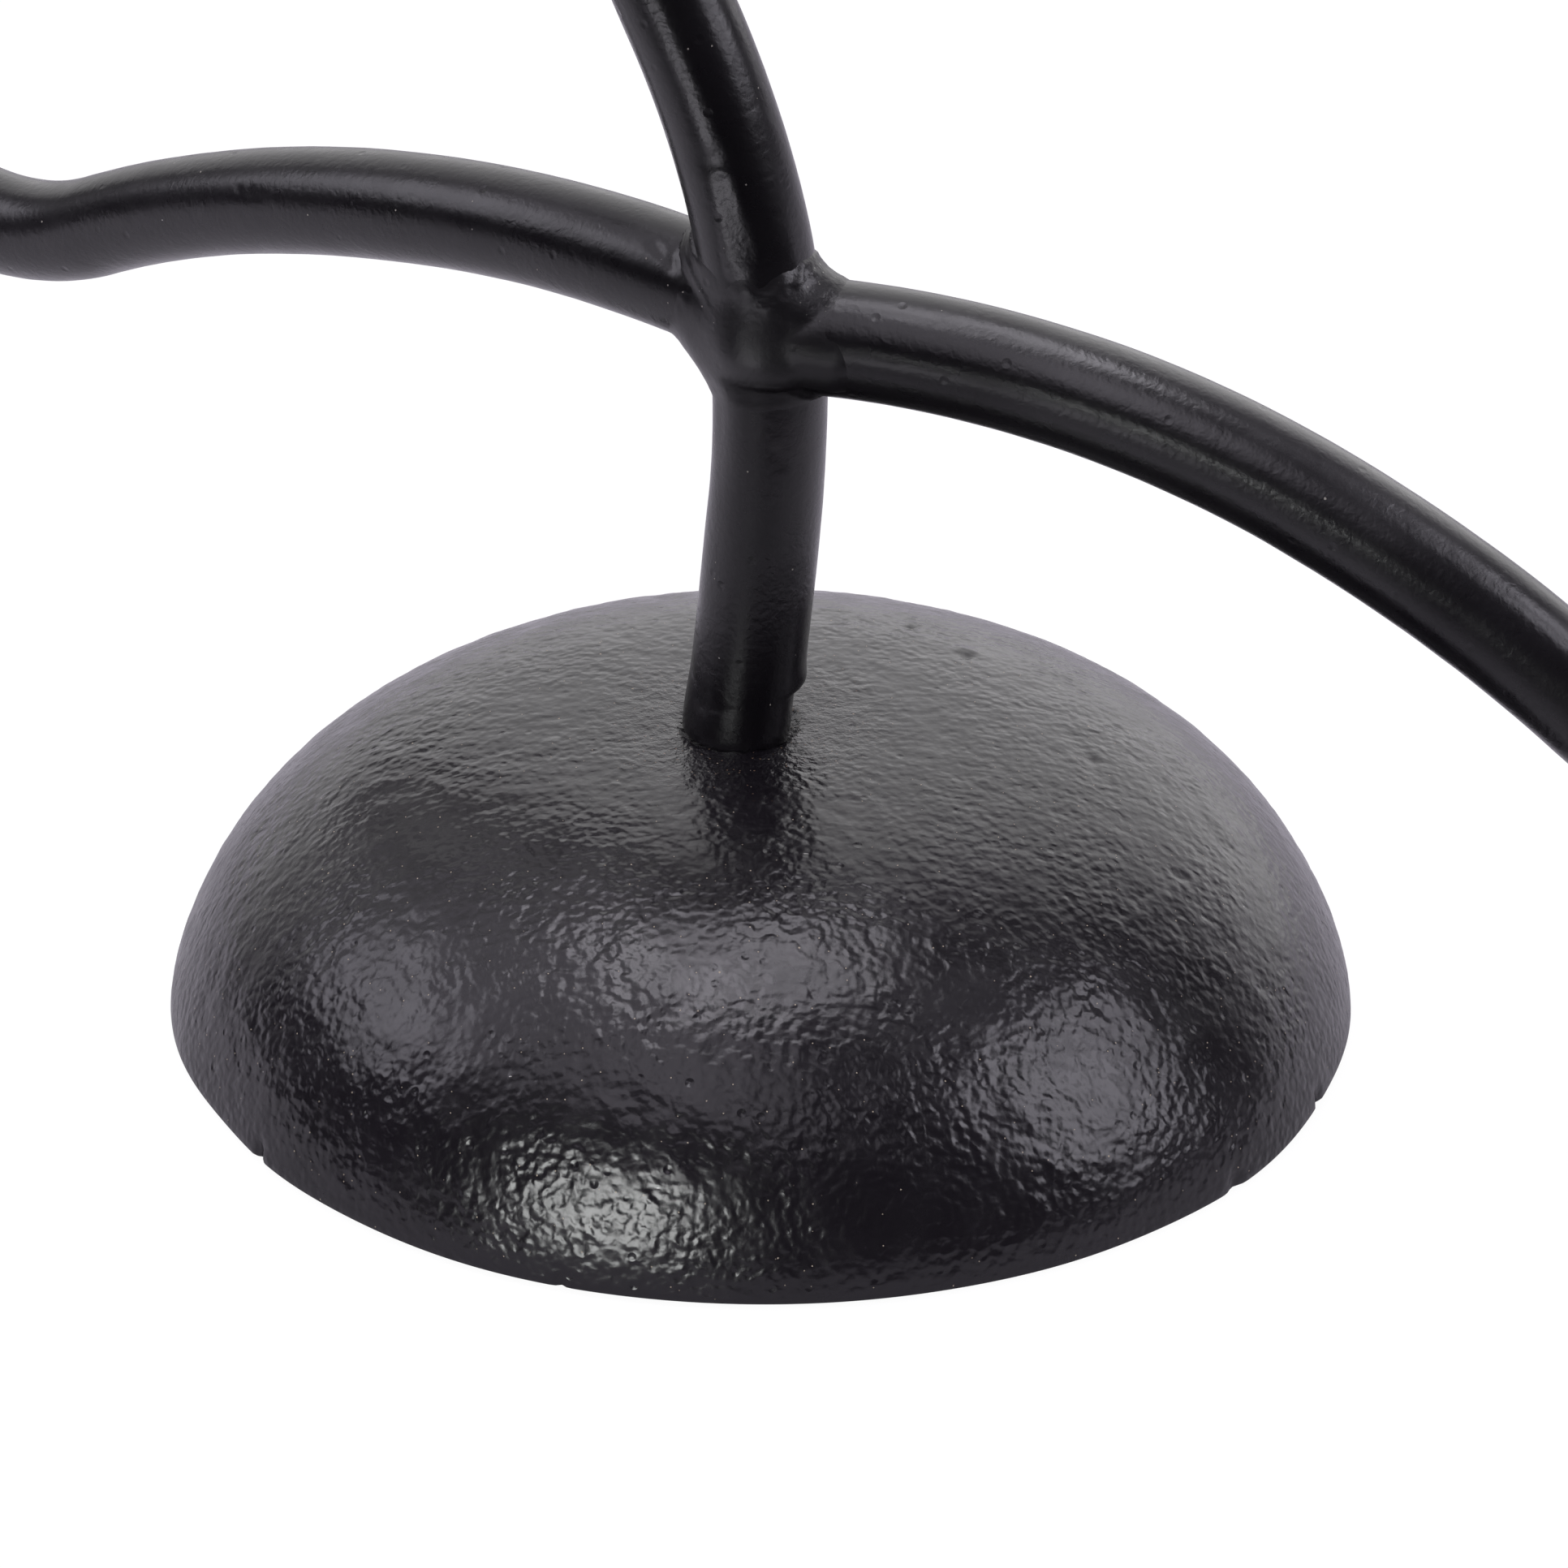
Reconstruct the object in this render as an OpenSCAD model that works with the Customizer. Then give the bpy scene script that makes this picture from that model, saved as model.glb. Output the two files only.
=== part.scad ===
// Torchere candle stand: three round bars bent freehand, welded at one low knot
// and bolted to a domed iron foot, with a drip pan and a candle cup on each end.
// The origin is on the table under the middle of the foot. +Z is up, +X is right,
// and -Y is towards the viewer. All sizes are in millimetres.

/* [Bar] */
// Diameter of the round bar
bar_d = 16; // [14:0.5:18]
// Gap at the root of each coped joint, which the weld bridges
root_gap = 0.15; // [0.05:0.05:0.4]

/* [Foot casting] */
// Width across the foot
foot_d = 170; // [160:1:190]
// Height of the casting
foot_h = 42; // [38:0.5:50]
// Flatness of the crown, where 2 is an ellipse
foot_crown = 3.4; // [2.4:0.05:4]
// Fullness of the dome's side, where 2 is an ellipse
foot_side = 1.46; // [1.3:0.02:1.9]
// Height of the upright edge round the rim
foot_skirt = 0.5; // [0.5:0.25:3]
// Thickness of the casting
foot_wall = 14; // [10:0.5:16]
// Width of the boss that the bolt passes through
boss_d = 32; // [28:1:40]
// Height of the boss's lower face above the table
boss_z = 16; // [14:0.5:18]
// Thickness of the ribs between the boss and the wall
rib_t = 7; // [4:0.5:10]
// Number of ribs
rib_count = 4; // [3:1:6]
// Depth of the spot face that the stem stands in
seat_depth = 0.8; // [0.5:0.1:1.5]
// Clearance round the stem in the spot face
seat_clear = 0.3; // [0.1:0.1:0.6]

/* [Felt] */
// Thickness of the felt disc
felt_t = 1.5; // [1:0.25:3]
// How far the felt stands below the rim
felt_proud = 0.5; // [0.25:0.25:1]
// Width of the bare rim round the felt
felt_edge = 6; // [4:0.5:8]

/* [Stem] */
// How far left of the foot's middle the stem stands
stem_left = 2.5; // [0:0.5:5]
// Compass angle of the upright plane that the stem is bent in
stem_turn = 157.5; // [140:0.5:180]
// How far the stem's lower end leans away from that direction
stem_lean = 6; // [3:0.5:8]
// Straight length above the foot
stem_base_l = 37; // [30:1:42]
// Radius of the knee, where the arms are welded
stem_knee_r = 123; // [115:1:140]
// Angle of the knee
stem_knee_a = 26; // [24:1:30]
// Radius of the slow sway above the knee
stem_sway_r = 150; // [120:5:200]
// Angle of the sway
stem_sway_a = 5; // [2:1:8]
// Straight length above the sway
stem_mid_l = 14; // [5:1:30]
// Radius of the bend back over the foot
stem_return_r = 210; // [180:5:240]
// Angle of the bend back
stem_return_a = 50; // [40:1:56]
// Straight length above the bend back
stem_neck_l = 20; // [10:1:40]
// Radius of the last bend, which brings the end upright
stem_neck_r = 200; // [150:5:250]
// Straight length under the pan
stem_top_l = 70; // [30:1:100]

/* [Right arm] */
// Compass angle of the right arm
right_turn = -18; // [-30:1:-5]
// Height of its joint above the foot
right_joint_h = 61; // [56:0.5:66]
// Slope at which it leaves the stem
right_rise = 4.9; // [0:0.1:8]
// Radius of the first stretch of the arch
right_arch_r = 149; // [135:1:165]
// Angle of that stretch
right_arch_a = 30; // [24:1:34]
// Radius of the second stretch of the arch
right_drop_r = 205; // [180:1:230]
// Angle of the second stretch
right_drop_a = 13; // [8:1:16]
// Straight length before the dip
right_mid_l = 12; // [5:1:20]
// Radius of the dip
right_dip_r = 58; // [50:1:64]
// Angle of the dip
right_dip_a = 112; // [104:1:118]
// Straight length above the dip
right_rise_l = 26; // [10:1:60]
// Radius of the bend over the dip
right_lean_r = 190; // [150:5:230]
// Angle of that bend
right_lean_a = 35; // [30:1:42]
// Radius of the last bend, which brings the end upright
right_neck_r = 170; // [130:5:220]
// Straight length under the pan
right_top_l = 22; // [20:1:60]

/* [Left arm] */
// Compass angle of the left arm
left_turn = 142; // [125:1:150]
// Height of its joint above the foot
left_joint_h = 64.5; // [58:0.5:70]
// Slope at which it leaves the stem
left_rise = 5.8; // [0:0.1:10]
// Radius of the arch
left_arch_r = 239; // [220:1:260]
// Angle of the arch
left_arch_a = 31; // [26:1:34]
// Radius of the dip
left_dip_r = 52; // [45:1:60]
// Angle of the dip
left_dip_a = 96; // [88:1:104]
// Straight length above the dip
left_rise_l = 12; // [5:1:60]
// Radius of the bend over the dip
left_lean_r = 230; // [180:5:260]
// Angle of that bend
left_lean_a = 38; // [32:1:44]
// Radius of the last bend, which brings the end upright
left_neck_r = 200; // [150:5:240]
// Straight length under the pan
left_top_l = 34; // [20:1:80]

/* [Welds] */
// Leg of the weld along a joint
weld_leg = 3.2; // [2.5:0.1:4]
// Leg of the weld in the corner above the right arm
right_weld_leg = 4.6; // [3.5:0.1:5.5]
// Leg of the web under the left arm
left_weld_leg = 5.6; // [4:0.1:6.5]
// How far the crown of the weld swells, as a share of its leg
weld_crown = 0.2; // [0.1:0.05:0.35]
// Clearance under the weld
weld_lift = 0.1; // [0.08:0.02:0.2]

/* [Pans and cups] */
// Width across a drip pan
pan_d = 62; // [54:1:76]
// Thickness of the pan
pan_t = 1.6; // [1.2:0.1:2.5]
// Height of the pan's rim above its floor
pan_h = 5; // [4:0.5:5.5]
// Thickness of the pan's rolled lip
pan_lip = 2.4; // [2:0.2:3]
// Diameter of the candle that a cup takes
candle_d = 22; // [20:0.5:24]
// Clearance all round the candle
candle_clear = 0.4; // [0.2:0.1:0.8]
// Depth of the cup's bore
cup_depth = 24; // [18:1:30]
// Thickness of the cup's wall
cup_wall = 2; // [1.6:0.1:3]
// Thickness of the cup's floor
cup_floor = 4.5; // [4.5:0.5:7]
// How far the lip of the cup flares out
cup_flare = 3; // [2:0.5:5]
// Thickness of the lip's edge
cup_lip = 1; // [0.8:0.1:1.5]

/* [Fasteners] */
// Thread of the foot bolt
bolt_d = 8; // [6:1:8]
// Length of the foot bolt under its head
bolt_l = 45; // [43:1:46]
// Size of the bolt's head across its flats
bolt_af = 13; // [11:0.5:14]
// Height of the bolt's head
bolt_head_h = 5.3; // [4:0.1:6]
// Width of the flat washer
washer_d = 24; // [20:1:26]
// Thickness of the flat washer
washer_t = 1.6; // [1:0.1:2]
// Width of the spring washer
spring_d = 14.8; // [12:0.2:15]
// Thickness of the spring washer
spring_t = 2; // [1.5:0.1:2.2]
// Clearance round the bolt in the foot and in the flat washer
bolt_clear = 0.45; // [0.3:0.05:0.8]
// Thread of the cup screws
screw_d = 5; // [4:0.5:6]
// Length of a cup screw, its head included
screw_l = 16; // [14:1:20]
// Width of a cup screw's head
screw_head_d = 10; // [8.5:0.5:11]
// Width of the slot in a screw's head, and of the gap in the spring washer
slot_w = 1.2; // [0.8:0.1:1.6]
// Clearance round a shank or under a head
fit = 0.15; // [0.05:0.05:0.3]

/* [Hidden] */
$fn = 96;
iron = "#1f1d21";
steel = "#8f9297";
felt = "#26292b";

foot_top = felt_proud + foot_h;
seat_z = foot_top - seat_depth;
felt_r = foot_d / 2 - felt_edge;
bolt_z = boss_z - washer_t - spring_t;
tapped_extra = 2;
past = 1;
dome_steps = 32;
curl_steps = 8;
spring_slant = 15;
head_bevel = 0.97;
// Sides of a bar, and how far it may stray from a true bend between rings of points
bar_sides = 24;
ring_sag = 0.05;
// Degrees round a joint from one section of its weld to the next
weld_pitch = 10;
// Degrees that each weld reaches to either side of its own middle
right_bead_half = 66;
left_bead_half = 60;
left_web_half = 65;

// ---- A bar is a list of runs [straight length, bend radius, bend angle], in an
// upright plane. A place on it is [reach, height, slope], slope in degrees.
function sgn(a) = a < 0 ? -1 : 1;

function after_line(p, l) = [p[0] + l * cos(p[2]), p[1] + l * sin(p[2]), p[2]];

function after_bend(p, r, a) = [
    p[0] + sgn(a) * r * (sin(p[2] + a) - sin(p[2])),
    p[1] - sgn(a) * r * (cos(p[2] + a) - cos(p[2])),
    p[2] + a];

function after_runs(p, runs, n) = n == 0 ? p :
    let (q = after_runs(p, runs, n - 1))
    after_bend(after_line(q, runs[n - 1][0]), runs[n - 1][1], runs[n - 1][2]);

function bar_end(p, runs) = after_runs(p, runs, len(runs));

// Bend that turns the slope left after the earlier runs into an upright end
function upright(p, runs) = 90 - bar_end(p, runs)[2];

stem_foot = [0, seat_z, 90 + stem_lean];
stem_bends = [
    [stem_base_l, stem_knee_r, -stem_knee_a],
    [0, stem_sway_r, -stem_sway_a],
    [stem_mid_l, stem_return_r, stem_return_a]];
stem_runs = concat(stem_bends, [
    [stem_neck_l, stem_neck_r, upright(stem_foot, stem_bends)],
    [stem_top_l, stem_neck_r, 0]]);
stem_end = bar_end(stem_foot, stem_runs);

// The middle of the stem in its knee, at a height above the foot
knee = after_line(stem_foot, stem_base_l);
function in_knee(h) =
    let (z = foot_top + h)
    let (e = acos(cos(knee[2]) + (z - knee[1]) / stem_knee_r))
    [knee[0] - stem_knee_r * (sin(e) - sin(knee[2])), z, e];

right_foot = [0, foot_top + right_joint_h, right_rise];
right_bends = [
    [0, right_arch_r, -right_arch_a],
    [0, right_drop_r, -right_drop_a],
    [right_mid_l, right_dip_r, right_dip_a],
    [right_rise_l, right_lean_r, right_lean_a]];
right_runs = concat(right_bends, [
    [0, right_neck_r, upright(right_foot, right_bends)],
    [right_top_l, right_neck_r, 0]]);
right_end = bar_end(right_foot, right_runs);

left_foot = [0, foot_top + left_joint_h, left_rise];
left_bends = [
    [0, left_arch_r, -left_arch_a],
    [0, left_dip_r, left_dip_a],
    [left_rise_l, left_lean_r, left_lean_a]];
left_runs = concat(left_bends, [
    [0, left_neck_r, upright(left_foot, left_bends)],
    [left_top_l, left_neck_r, 0]]);
left_end = bar_end(left_foot, left_runs);

// Sets a plane's reach along its compass angle, at the stem's foot
module at_stem() {
    translate([-stem_left, 0, 0]) rotate([0, 0, stem_turn]) children();
}

// The same for an arm, from the middle of the stem where the arm joins it
module at_joint(h, turn) {
    at_stem() translate([in_knee(h)[0], 0, 0]) rotate([0, 0, turn - stem_turn]) children();
}

module at_right() { at_joint(right_joint_h, right_turn) children(); }

module at_left() { at_joint(left_joint_h, left_turn) children(); }

// Places along a bar: each end of a straight, and close steps round a bend
function run_places(q, run) =
    let (k = after_line(q, run[0]))
    let (n = ceil(abs(run[2]) / (2 * acos(1 - ring_sag / run[1]))))
    concat(run[0] > 0 ? [k] : [], n == 0 ? [] : [for (j = [1 : n]) after_bend(k, run[1], run[2] * j / n)]);

function places(p, runs) =
    concat([p], [for (i = [0 : len(runs) - 1]) each run_places(after_runs(p, runs, i), runs[i])]);

// Round bar along its runs: a ring of points square to the bar at each place
module bar(p, runs, d) {
    rings = places(p, runs);
    last = len(rings) - 1;
    points = [for (q = rings) for (k = [0 : bar_sides - 1])
        let (a = 360 * k / bar_sides)
        [q[0] - d / 2 * cos(a) * sin(q[2]), d / 2 * sin(a), q[1] + d / 2 * cos(a) * cos(q[2])]];
    walls = [for (i = [0 : last - 1]) for (k = [0 : bar_sides - 1])
        let (m = (k + 1) % bar_sides)
        [i * bar_sides + m, (i + 1) * bar_sides + m, (i + 1) * bar_sides + k, i * bar_sides + k]];
    ends = [
        [for (k = [bar_sides - 1 : -1 : 0]) k],
        [for (k = [0 : bar_sides - 1]) last * bar_sides + k]];
    polyhedron(points, concat(walls, ends), convexity = 6);
}

// One bend of a bar by itself, with true round surfaces
module bend(p, r, a, d) {
    from = a > 0 ? p[2] - 90 : p[2] + 90 + a;
    translate([p[0] - sgn(a) * r * sin(p[2]), 0, p[1] + sgn(a) * r * cos(p[2])])
        rotate([90, 0, 0]) rotate([0, 0, from])
            rotate_extrude(angle = abs(a)) translate([r, 0]) circle(d = d);
}

// The stretch of the stem that the arms are coped to
module stem_knee(d) {
    at_stem() bend(knee, stem_knee_r, -stem_knee_a, d);
}

// Tapped hole down into an upright bar end
module end_thread(end) {
    depth = screw_l - cup_floor - pan_t + tapped_extra;
    translate([end[0], 0, end[1] - depth]) cylinder(h = depth + past, d = screw_d + 2 * fit);
}

module stem() {
    color(iron) difference() {
        at_stem() bar(stem_foot, stem_runs, bar_d);
        at_stem() end_thread(stem_end);
        translate([-stem_left, 0, seat_z - past])
            cylinder(h = bolt_z + bolt_l + tapped_extra - seat_z + past, d = bolt_d + 2 * fit);
        translate([-stem_left - bar_d, -bar_d, seat_z - bar_d]) cube([2 * bar_d, 2 * bar_d, bar_d]);
    }
}

module right_arm() {
    color(iron) difference() {
        at_right() bar(right_foot, right_runs, bar_d);
        stem_knee(bar_d + 2 * root_gap);
        at_right() end_thread(right_end);
    }
}

module left_arm() {
    color(iron) difference() {
        at_left() bar(left_foot, left_runs, bar_d);
        stem_knee(bar_d + 2 * root_gap);
        at_left() end_thread(left_end);
    }
}

// Half profile of the dome above the table, r by h, with its upright edge below
function dome_side(r, h, skirt) = [
    for (i = [0 : dome_steps]) let (a = 90 * i / dome_steps)
        [r * pow(cos(a), 2 / foot_crown), skirt + (h - skirt) * pow(sin(a), 2 / foot_side)]];

module dome_profile(r, h, skirt) {
    polygon(concat([[0, 0], [r, 0]], dome_side(r, h, skirt)));
}

module foot_dome() {
    color(iron) difference() {
        translate([0, 0, felt_proud]) union() {
            difference() {
                rotate_extrude() dome_profile(foot_d / 2, foot_h, foot_skirt);
                translate([0, 0, -past]) rotate_extrude()
                    dome_profile(foot_d / 2 - foot_wall, foot_h - foot_wall + past, past + foot_skirt);
            }
            foot_core();
        }
        translate([0, 0, felt_proud - past])
            cylinder(h = felt_t - felt_proud + past, r = felt_r + fit);
        translate([-stem_left, 0, seat_z]) cylinder(h = seat_depth + past, d = bar_d + 2 * seat_clear);
        translate([-stem_left, 0, 0]) cylinder(h = foot_top, d = bolt_d + 2 * bolt_clear);
    }
}

// Boss and ribs under the crown, trimmed to the middle of the wall
module foot_core() {
    intersection() {
        rotate_extrude() dome_profile(foot_d / 2 - foot_wall / 2, foot_h - foot_wall / 2, foot_skirt);
        translate([-stem_left, 0, boss_z - felt_proud]) {
            cylinder(h = foot_h, d = boss_d);
            for (i = [0 : rib_count - 1]) rotate([0, 0, 45 + 360 * i / rib_count])
                translate([0, -rib_t / 2, 0]) cube([foot_d / 2, rib_t, foot_h]);
        }
    }
}

module felt_disc() {
    color(felt) cylinder(h = felt_t, r = felt_r);
}

module flat_washer() {
    color(steel) translate([-stem_left, 0, boss_z - washer_t]) difference() {
        cylinder(h = washer_t, d = washer_d);
        translate([0, 0, -past]) cylinder(h = washer_t + 2 * past, d = bolt_d + 2 * bolt_clear);
    }
}

module spring_washer() {
    color(steel) translate([-stem_left, 0, bolt_z]) difference() {
        cylinder(h = spring_t, d = spring_d);
        translate([0, 0, -past]) cylinder(h = spring_t + 2 * past, d = bolt_d + 2 * fit);
        translate([0, -slot_w / 2, -past]) rotate([spring_slant, 0, 0])
            cube([spring_d, slot_w, spring_t + 3 * past]);
    }
}

module foot_bolt() {
    color(steel) translate([-stem_left, 0, bolt_z]) {
        cylinder(h = bolt_l, d = bolt_d);
        translate([0, 0, -bolt_head_h]) intersection() {
            cylinder(h = bolt_head_h, d = bolt_af / cos(30), $fn = 6);
            cylinder(h = bolt_head_h, d1 = head_bevel * bolt_af, d2 = head_bevel * bolt_af + 2 * bolt_head_h);
        }
    }
}

// ---- Welds: a fillet swept round the line where an arm meets the stem.
// Places are relative to the joint; u points along the arm and w along the stem.
function unit(v) = v / norm(v);

// What is left of v square to the unit vector k
function square_to(v, k) = v - (v * k) * k;

// Place on the line at an angle round the arm from its top, for bars of radius r
function seam(u, w, r, angle) =
    let (side = unit(cross(w, u)))
    let (q = r * (cos(angle) * cross(u, side) + sin(angle) * side))
    let (a = square_to(q, w))
    let (b = square_to(u, w))
    let (left = max(0, pow(a * b, 2) - (b * b) * (a * a - r * r)))
    q + u * (sqrt(left) - a * b) / (b * b);

// A bend is [its centre, its axis, its radius]. This moves a place square to the
// bar until it is r from the bar's middle.
function onto(p, bent, r) =
    let (middle = bent[0] + bent[2] * unit(square_to(p - bent[0], bent[1])))
    middle + r * unit(p - middle);

// Leg of the fillet at an angle: it grows towards the corner where the gap is widest
function leg_at(angle, corner, corner_leg) =
    weld_leg + (corner_leg - weld_leg) * pow(max(0, cos(angle - corner)), 2);

// Section of the fillet: its root, up the arm to a toe, over the crown, down the stem
function fillet(u, w, arm, post, r, angle, leg) =
    let (q = onto(onto(seam(u, w, r, angle), post, r), arm, r))
    let (run = unit(seam(u, w, r, angle + 1) - seam(u, w, r, angle - 1)))
    let (arm_out = unit(square_to(q, u)))
    let (post_out = unit(square_to(q, w)))
    let (up_arm = leg * unit(cross(run, arm_out)))
    let (down_post = leg * unit(cross(post_out, run)))
    let (arm_side = [for (t = [1 / 3, 2 / 3, 1]) onto(q + t * up_arm, arm, r)])
    let (post_side = [for (t = [1, 2 / 3, 1 / 3]) onto(q + t * down_post, post, r)])
    let (crown = (arm_side[2] + post_side[0]) / 2 + weld_crown * leg * unit(arm_out + post_out))
    concat([q], arm_side, [crown], post_side);

// A bead to either side of a middle angle round the arm
module weld(h, turn, rise, arch_r, middle, half, corner, corner_leg) {
    k = in_knee(h);
    u = [cos(rise) * cos(turn - stem_turn), cos(rise) * sin(turn - stem_turn), sin(rise)];
    w = [cos(k[2]), 0, sin(k[2])];
    side = [-sin(turn - stem_turn), cos(turn - stem_turn), 0];
    arm = [arch_r * cross(side, u), side, arch_r];
    post = [stem_knee_r * [sin(k[2]), 0, -cos(k[2])], [0, 1, 0], stem_knee_r];
    steps = round(2 * half / weld_pitch);
    sections = [for (i = [0 : steps]) let (angle = middle + half * (2 * i / steps - 1))
        fillet(u, w, arm, post, bar_d / 2 + weld_lift, angle, leg_at(angle, corner, corner_leg))];
    n = len(sections[0]);
    walls = [for (i = [0 : steps - 1]) for (j = [0 : n - 1])
        [n * i + j, n * i + (j + 1) % n, n * (i + 1) + (j + 1) % n, n * (i + 1) + j]];
    ends = [
        [for (j = [n - 1 : -1 : 0]) j],
        [for (j = [0 : n - 1]) n * steps + j]];
    color(iron) at_stem() translate([k[0], 0, k[1]])
        polyhedron([for (ring = sections) each ring], concat(walls, ends), convexity = 6);
}

module right_weld() {
    weld(right_joint_h, right_turn, right_rise, right_arch_r, 0, right_bead_half, 0, right_weld_leg);
}

module left_weld() {
    weld(left_joint_h, left_turn, left_rise, left_arch_r, 0, left_bead_half, 180, left_weld_leg);
    weld(left_joint_h, left_turn, left_rise, left_arch_r, 180, left_web_half, 180, left_weld_leg);
}

// ---- Drip pans and candle cups, drawn about the middle of a bar's end
pan_r = pan_d / 2;

// Quarter circle that turns the pan's floor up into its rim, at a radius r
function pan_curl(r, steps) = [
    for (i = steps) let (a = 90 * i / curl_steps) [pan_r - pan_h + r * sin(a), pan_h - r * cos(a)]];

module pan_on(end) {
    color(iron) translate([end[0], 0, end[1]]) difference() {
        rotate_extrude() union() {
            polygon(concat([[0, 0]], pan_curl(pan_h, [0 : curl_steps]),
                pan_curl(pan_h - pan_t, [curl_steps : -1 : 0]), [[0, pan_t]]));
            translate([pan_r - pan_t / 2, pan_h]) circle(d = pan_lip);
        }
        translate([0, 0, -past]) cylinder(h = pan_t + 2 * past, d = screw_d + 4 * fit);
    }
}

cup_bore_r = candle_d / 2 + candle_clear;
cup_r = cup_bore_r + cup_wall;
cup_h = cup_floor + cup_depth;
cup_z = pan_t;
flare_h = 1.6 * cup_flare;
foot_r = bar_d / 2;
screw_cone_h = (screw_head_d - screw_d) / 2;

// Outside of the cup: it swells from a foot as wide as the bar, then flares at the lip
function cup_swell(a) = [foot_r + (cup_r - foot_r) * sin(a), cup_floor - (cup_floor - cup_lip) * cos(a)];

function cup_mouth(a) = [cup_r + cup_flare * (1 - cos(a)), cup_h - flare_h + (flare_h - cup_lip) * sin(a)];

module cup_on(end) {
    color(iron) translate([end[0], 0, end[1] + cup_z]) difference() {
        rotate_extrude() polygon(concat(
            [[0, 0], [foot_r, 0]],
            [for (i = [0 : curl_steps]) cup_swell(90 * i / curl_steps)],
            [for (i = [0 : curl_steps]) cup_mouth(90 * i / curl_steps)],
            [[cup_r + cup_flare, cup_h], [0, cup_h]]));
        translate([0, 0, cup_floor]) cylinder(h = cup_depth + past, r = cup_bore_r);
        translate([0, 0, -past]) cylinder(h = cup_floor + 2 * past, d = screw_d + 4 * fit);
        translate([0, 0, cup_floor - screw_cone_h])
            cylinder(h = screw_cone_h, d1 = screw_d + 2 * fit, d2 = screw_head_d + 2 * fit);
    }
}

module screw_on(end) {
    translate([end[0], 0, end[1] + cup_z + cup_floor]) difference() {
        union() {
            translate([0, 0, -screw_l]) cylinder(h = screw_l - screw_cone_h / 2, d = screw_d);
            translate([0, 0, -screw_cone_h]) cylinder(h = screw_cone_h, d1 = screw_d, d2 = screw_head_d);
        }
        translate([-screw_head_d, -slot_w / 2, -slot_w]) cube([2 * screw_head_d, slot_w, slot_w + past]);
    }
}

module stem_pan() { at_stem() pan_on(stem_end); }

module right_pan() { at_right() pan_on(right_end); }

module left_pan() { at_left() pan_on(left_end); }

module stem_cup() { at_stem() cup_on(stem_end); }

module right_cup() { at_right() cup_on(right_end); }

module left_cup() { at_left() cup_on(left_end); }

module cup_screws() {
    color(steel) {
        at_stem() screw_on(stem_end);
        at_right() screw_on(right_end);
        at_left() screw_on(left_end);
    }
}

felt_disc();
foot_dome();
foot_bolt();
spring_washer();
flat_washer();
stem();
right_arm();
left_arm();
right_weld();
left_weld();
stem_pan();
right_pan();
left_pan();
stem_cup();
right_cup();
left_cup();
cup_screws();
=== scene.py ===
import math

import bmesh
import bpy
import numpy as np
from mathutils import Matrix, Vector, noise
from mathutils.bvhtree import BVHTree


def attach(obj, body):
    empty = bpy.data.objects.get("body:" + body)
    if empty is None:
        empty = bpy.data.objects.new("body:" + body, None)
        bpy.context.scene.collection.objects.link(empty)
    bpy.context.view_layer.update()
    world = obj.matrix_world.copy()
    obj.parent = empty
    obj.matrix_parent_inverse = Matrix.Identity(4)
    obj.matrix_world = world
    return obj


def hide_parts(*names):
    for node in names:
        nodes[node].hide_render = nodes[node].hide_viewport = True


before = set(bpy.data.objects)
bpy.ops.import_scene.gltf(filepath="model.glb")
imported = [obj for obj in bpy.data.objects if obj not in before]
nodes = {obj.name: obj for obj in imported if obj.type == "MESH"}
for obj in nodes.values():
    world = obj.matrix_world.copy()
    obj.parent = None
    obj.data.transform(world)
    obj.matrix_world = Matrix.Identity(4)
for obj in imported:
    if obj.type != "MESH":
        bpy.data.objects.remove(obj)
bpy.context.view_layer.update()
mm = 0.001
tiny = 1e-6
scene = bpy.context.scene

# Lengths are in millimetres and angles in degrees. Only the studio's lengths are in metres.
photoCamera = {"place": (3.5, -707.7, 421.5), "down": 28.79, "sensor": 36.0, "framePixels": 1932,
               "focalPixels": 7000, "farEnd": 20000.0}


def addCamera():
    lens = bpy.data.cameras.new("photoCamera")
    lens.sensor_width = photoCamera["sensor"]
    lens.lens = photoCamera["sensor"] * photoCamera["focalPixels"] / photoCamera["framePixels"]
    lens.clip_end = photoCamera["farEnd"] * mm
    camera = bpy.data.objects.new("photoCamera", lens)
    camera.location = Vector(photoCamera["place"]) * mm
    camera.rotation_euler = (math.radians(90 - photoCamera["down"]), 0, 0)
    scene.collection.objects.link(camera)
    scene.camera = camera


addCamera()
viewPoint = np.array(photoCamera["place"])
print("camera: set")


def unit(v):
    return v / np.linalg.norm(v, axis=-1, keepdims=True)


def smooth(x, low, high):
    t = np.clip((x - low) / (high - low), 0, 1)
    return t * t * (3 - 2 * t)


def hump(x, middle, width):
    return np.exp(-((x - middle) / width) ** 2)


def fromAngle(a, b):
    return (a - b + 180) % 360 - 180


def heading(a):
    # the direction at an angle
    return np.array([math.cos(math.radians(a)), math.sin(math.radians(a))])


def toSegment(points, start, end):
    start, line = np.array(start), np.subtract(end, start)
    t = np.clip(((points - start) @ line) / (line @ line), 0, 1)
    return np.linalg.norm(points - start - t[..., None] * line, axis=-1)


# each seed moves the noise by so much
noiseShift = (7.31, 3.17, 5.43)


def noiseAt(points, size, seed):
    # soft lumps between about -1 and 1, one lump every 'size' millimetres
    shift = Vector([seed * part for part in noiseShift])
    return np.array([noise.noise(Vector(p) / size + shift) for p in points])


def newMesh(name, points, faces, edges=()):
    mesh = bpy.data.meshes.new(name)
    mesh.from_pydata([tuple(p) for p in np.asarray(points) * mm], edges, faces)
    mesh.update()
    piece = bpy.data.objects.new(name, mesh)
    scene.collection.objects.link(piece)
    return piece


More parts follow.
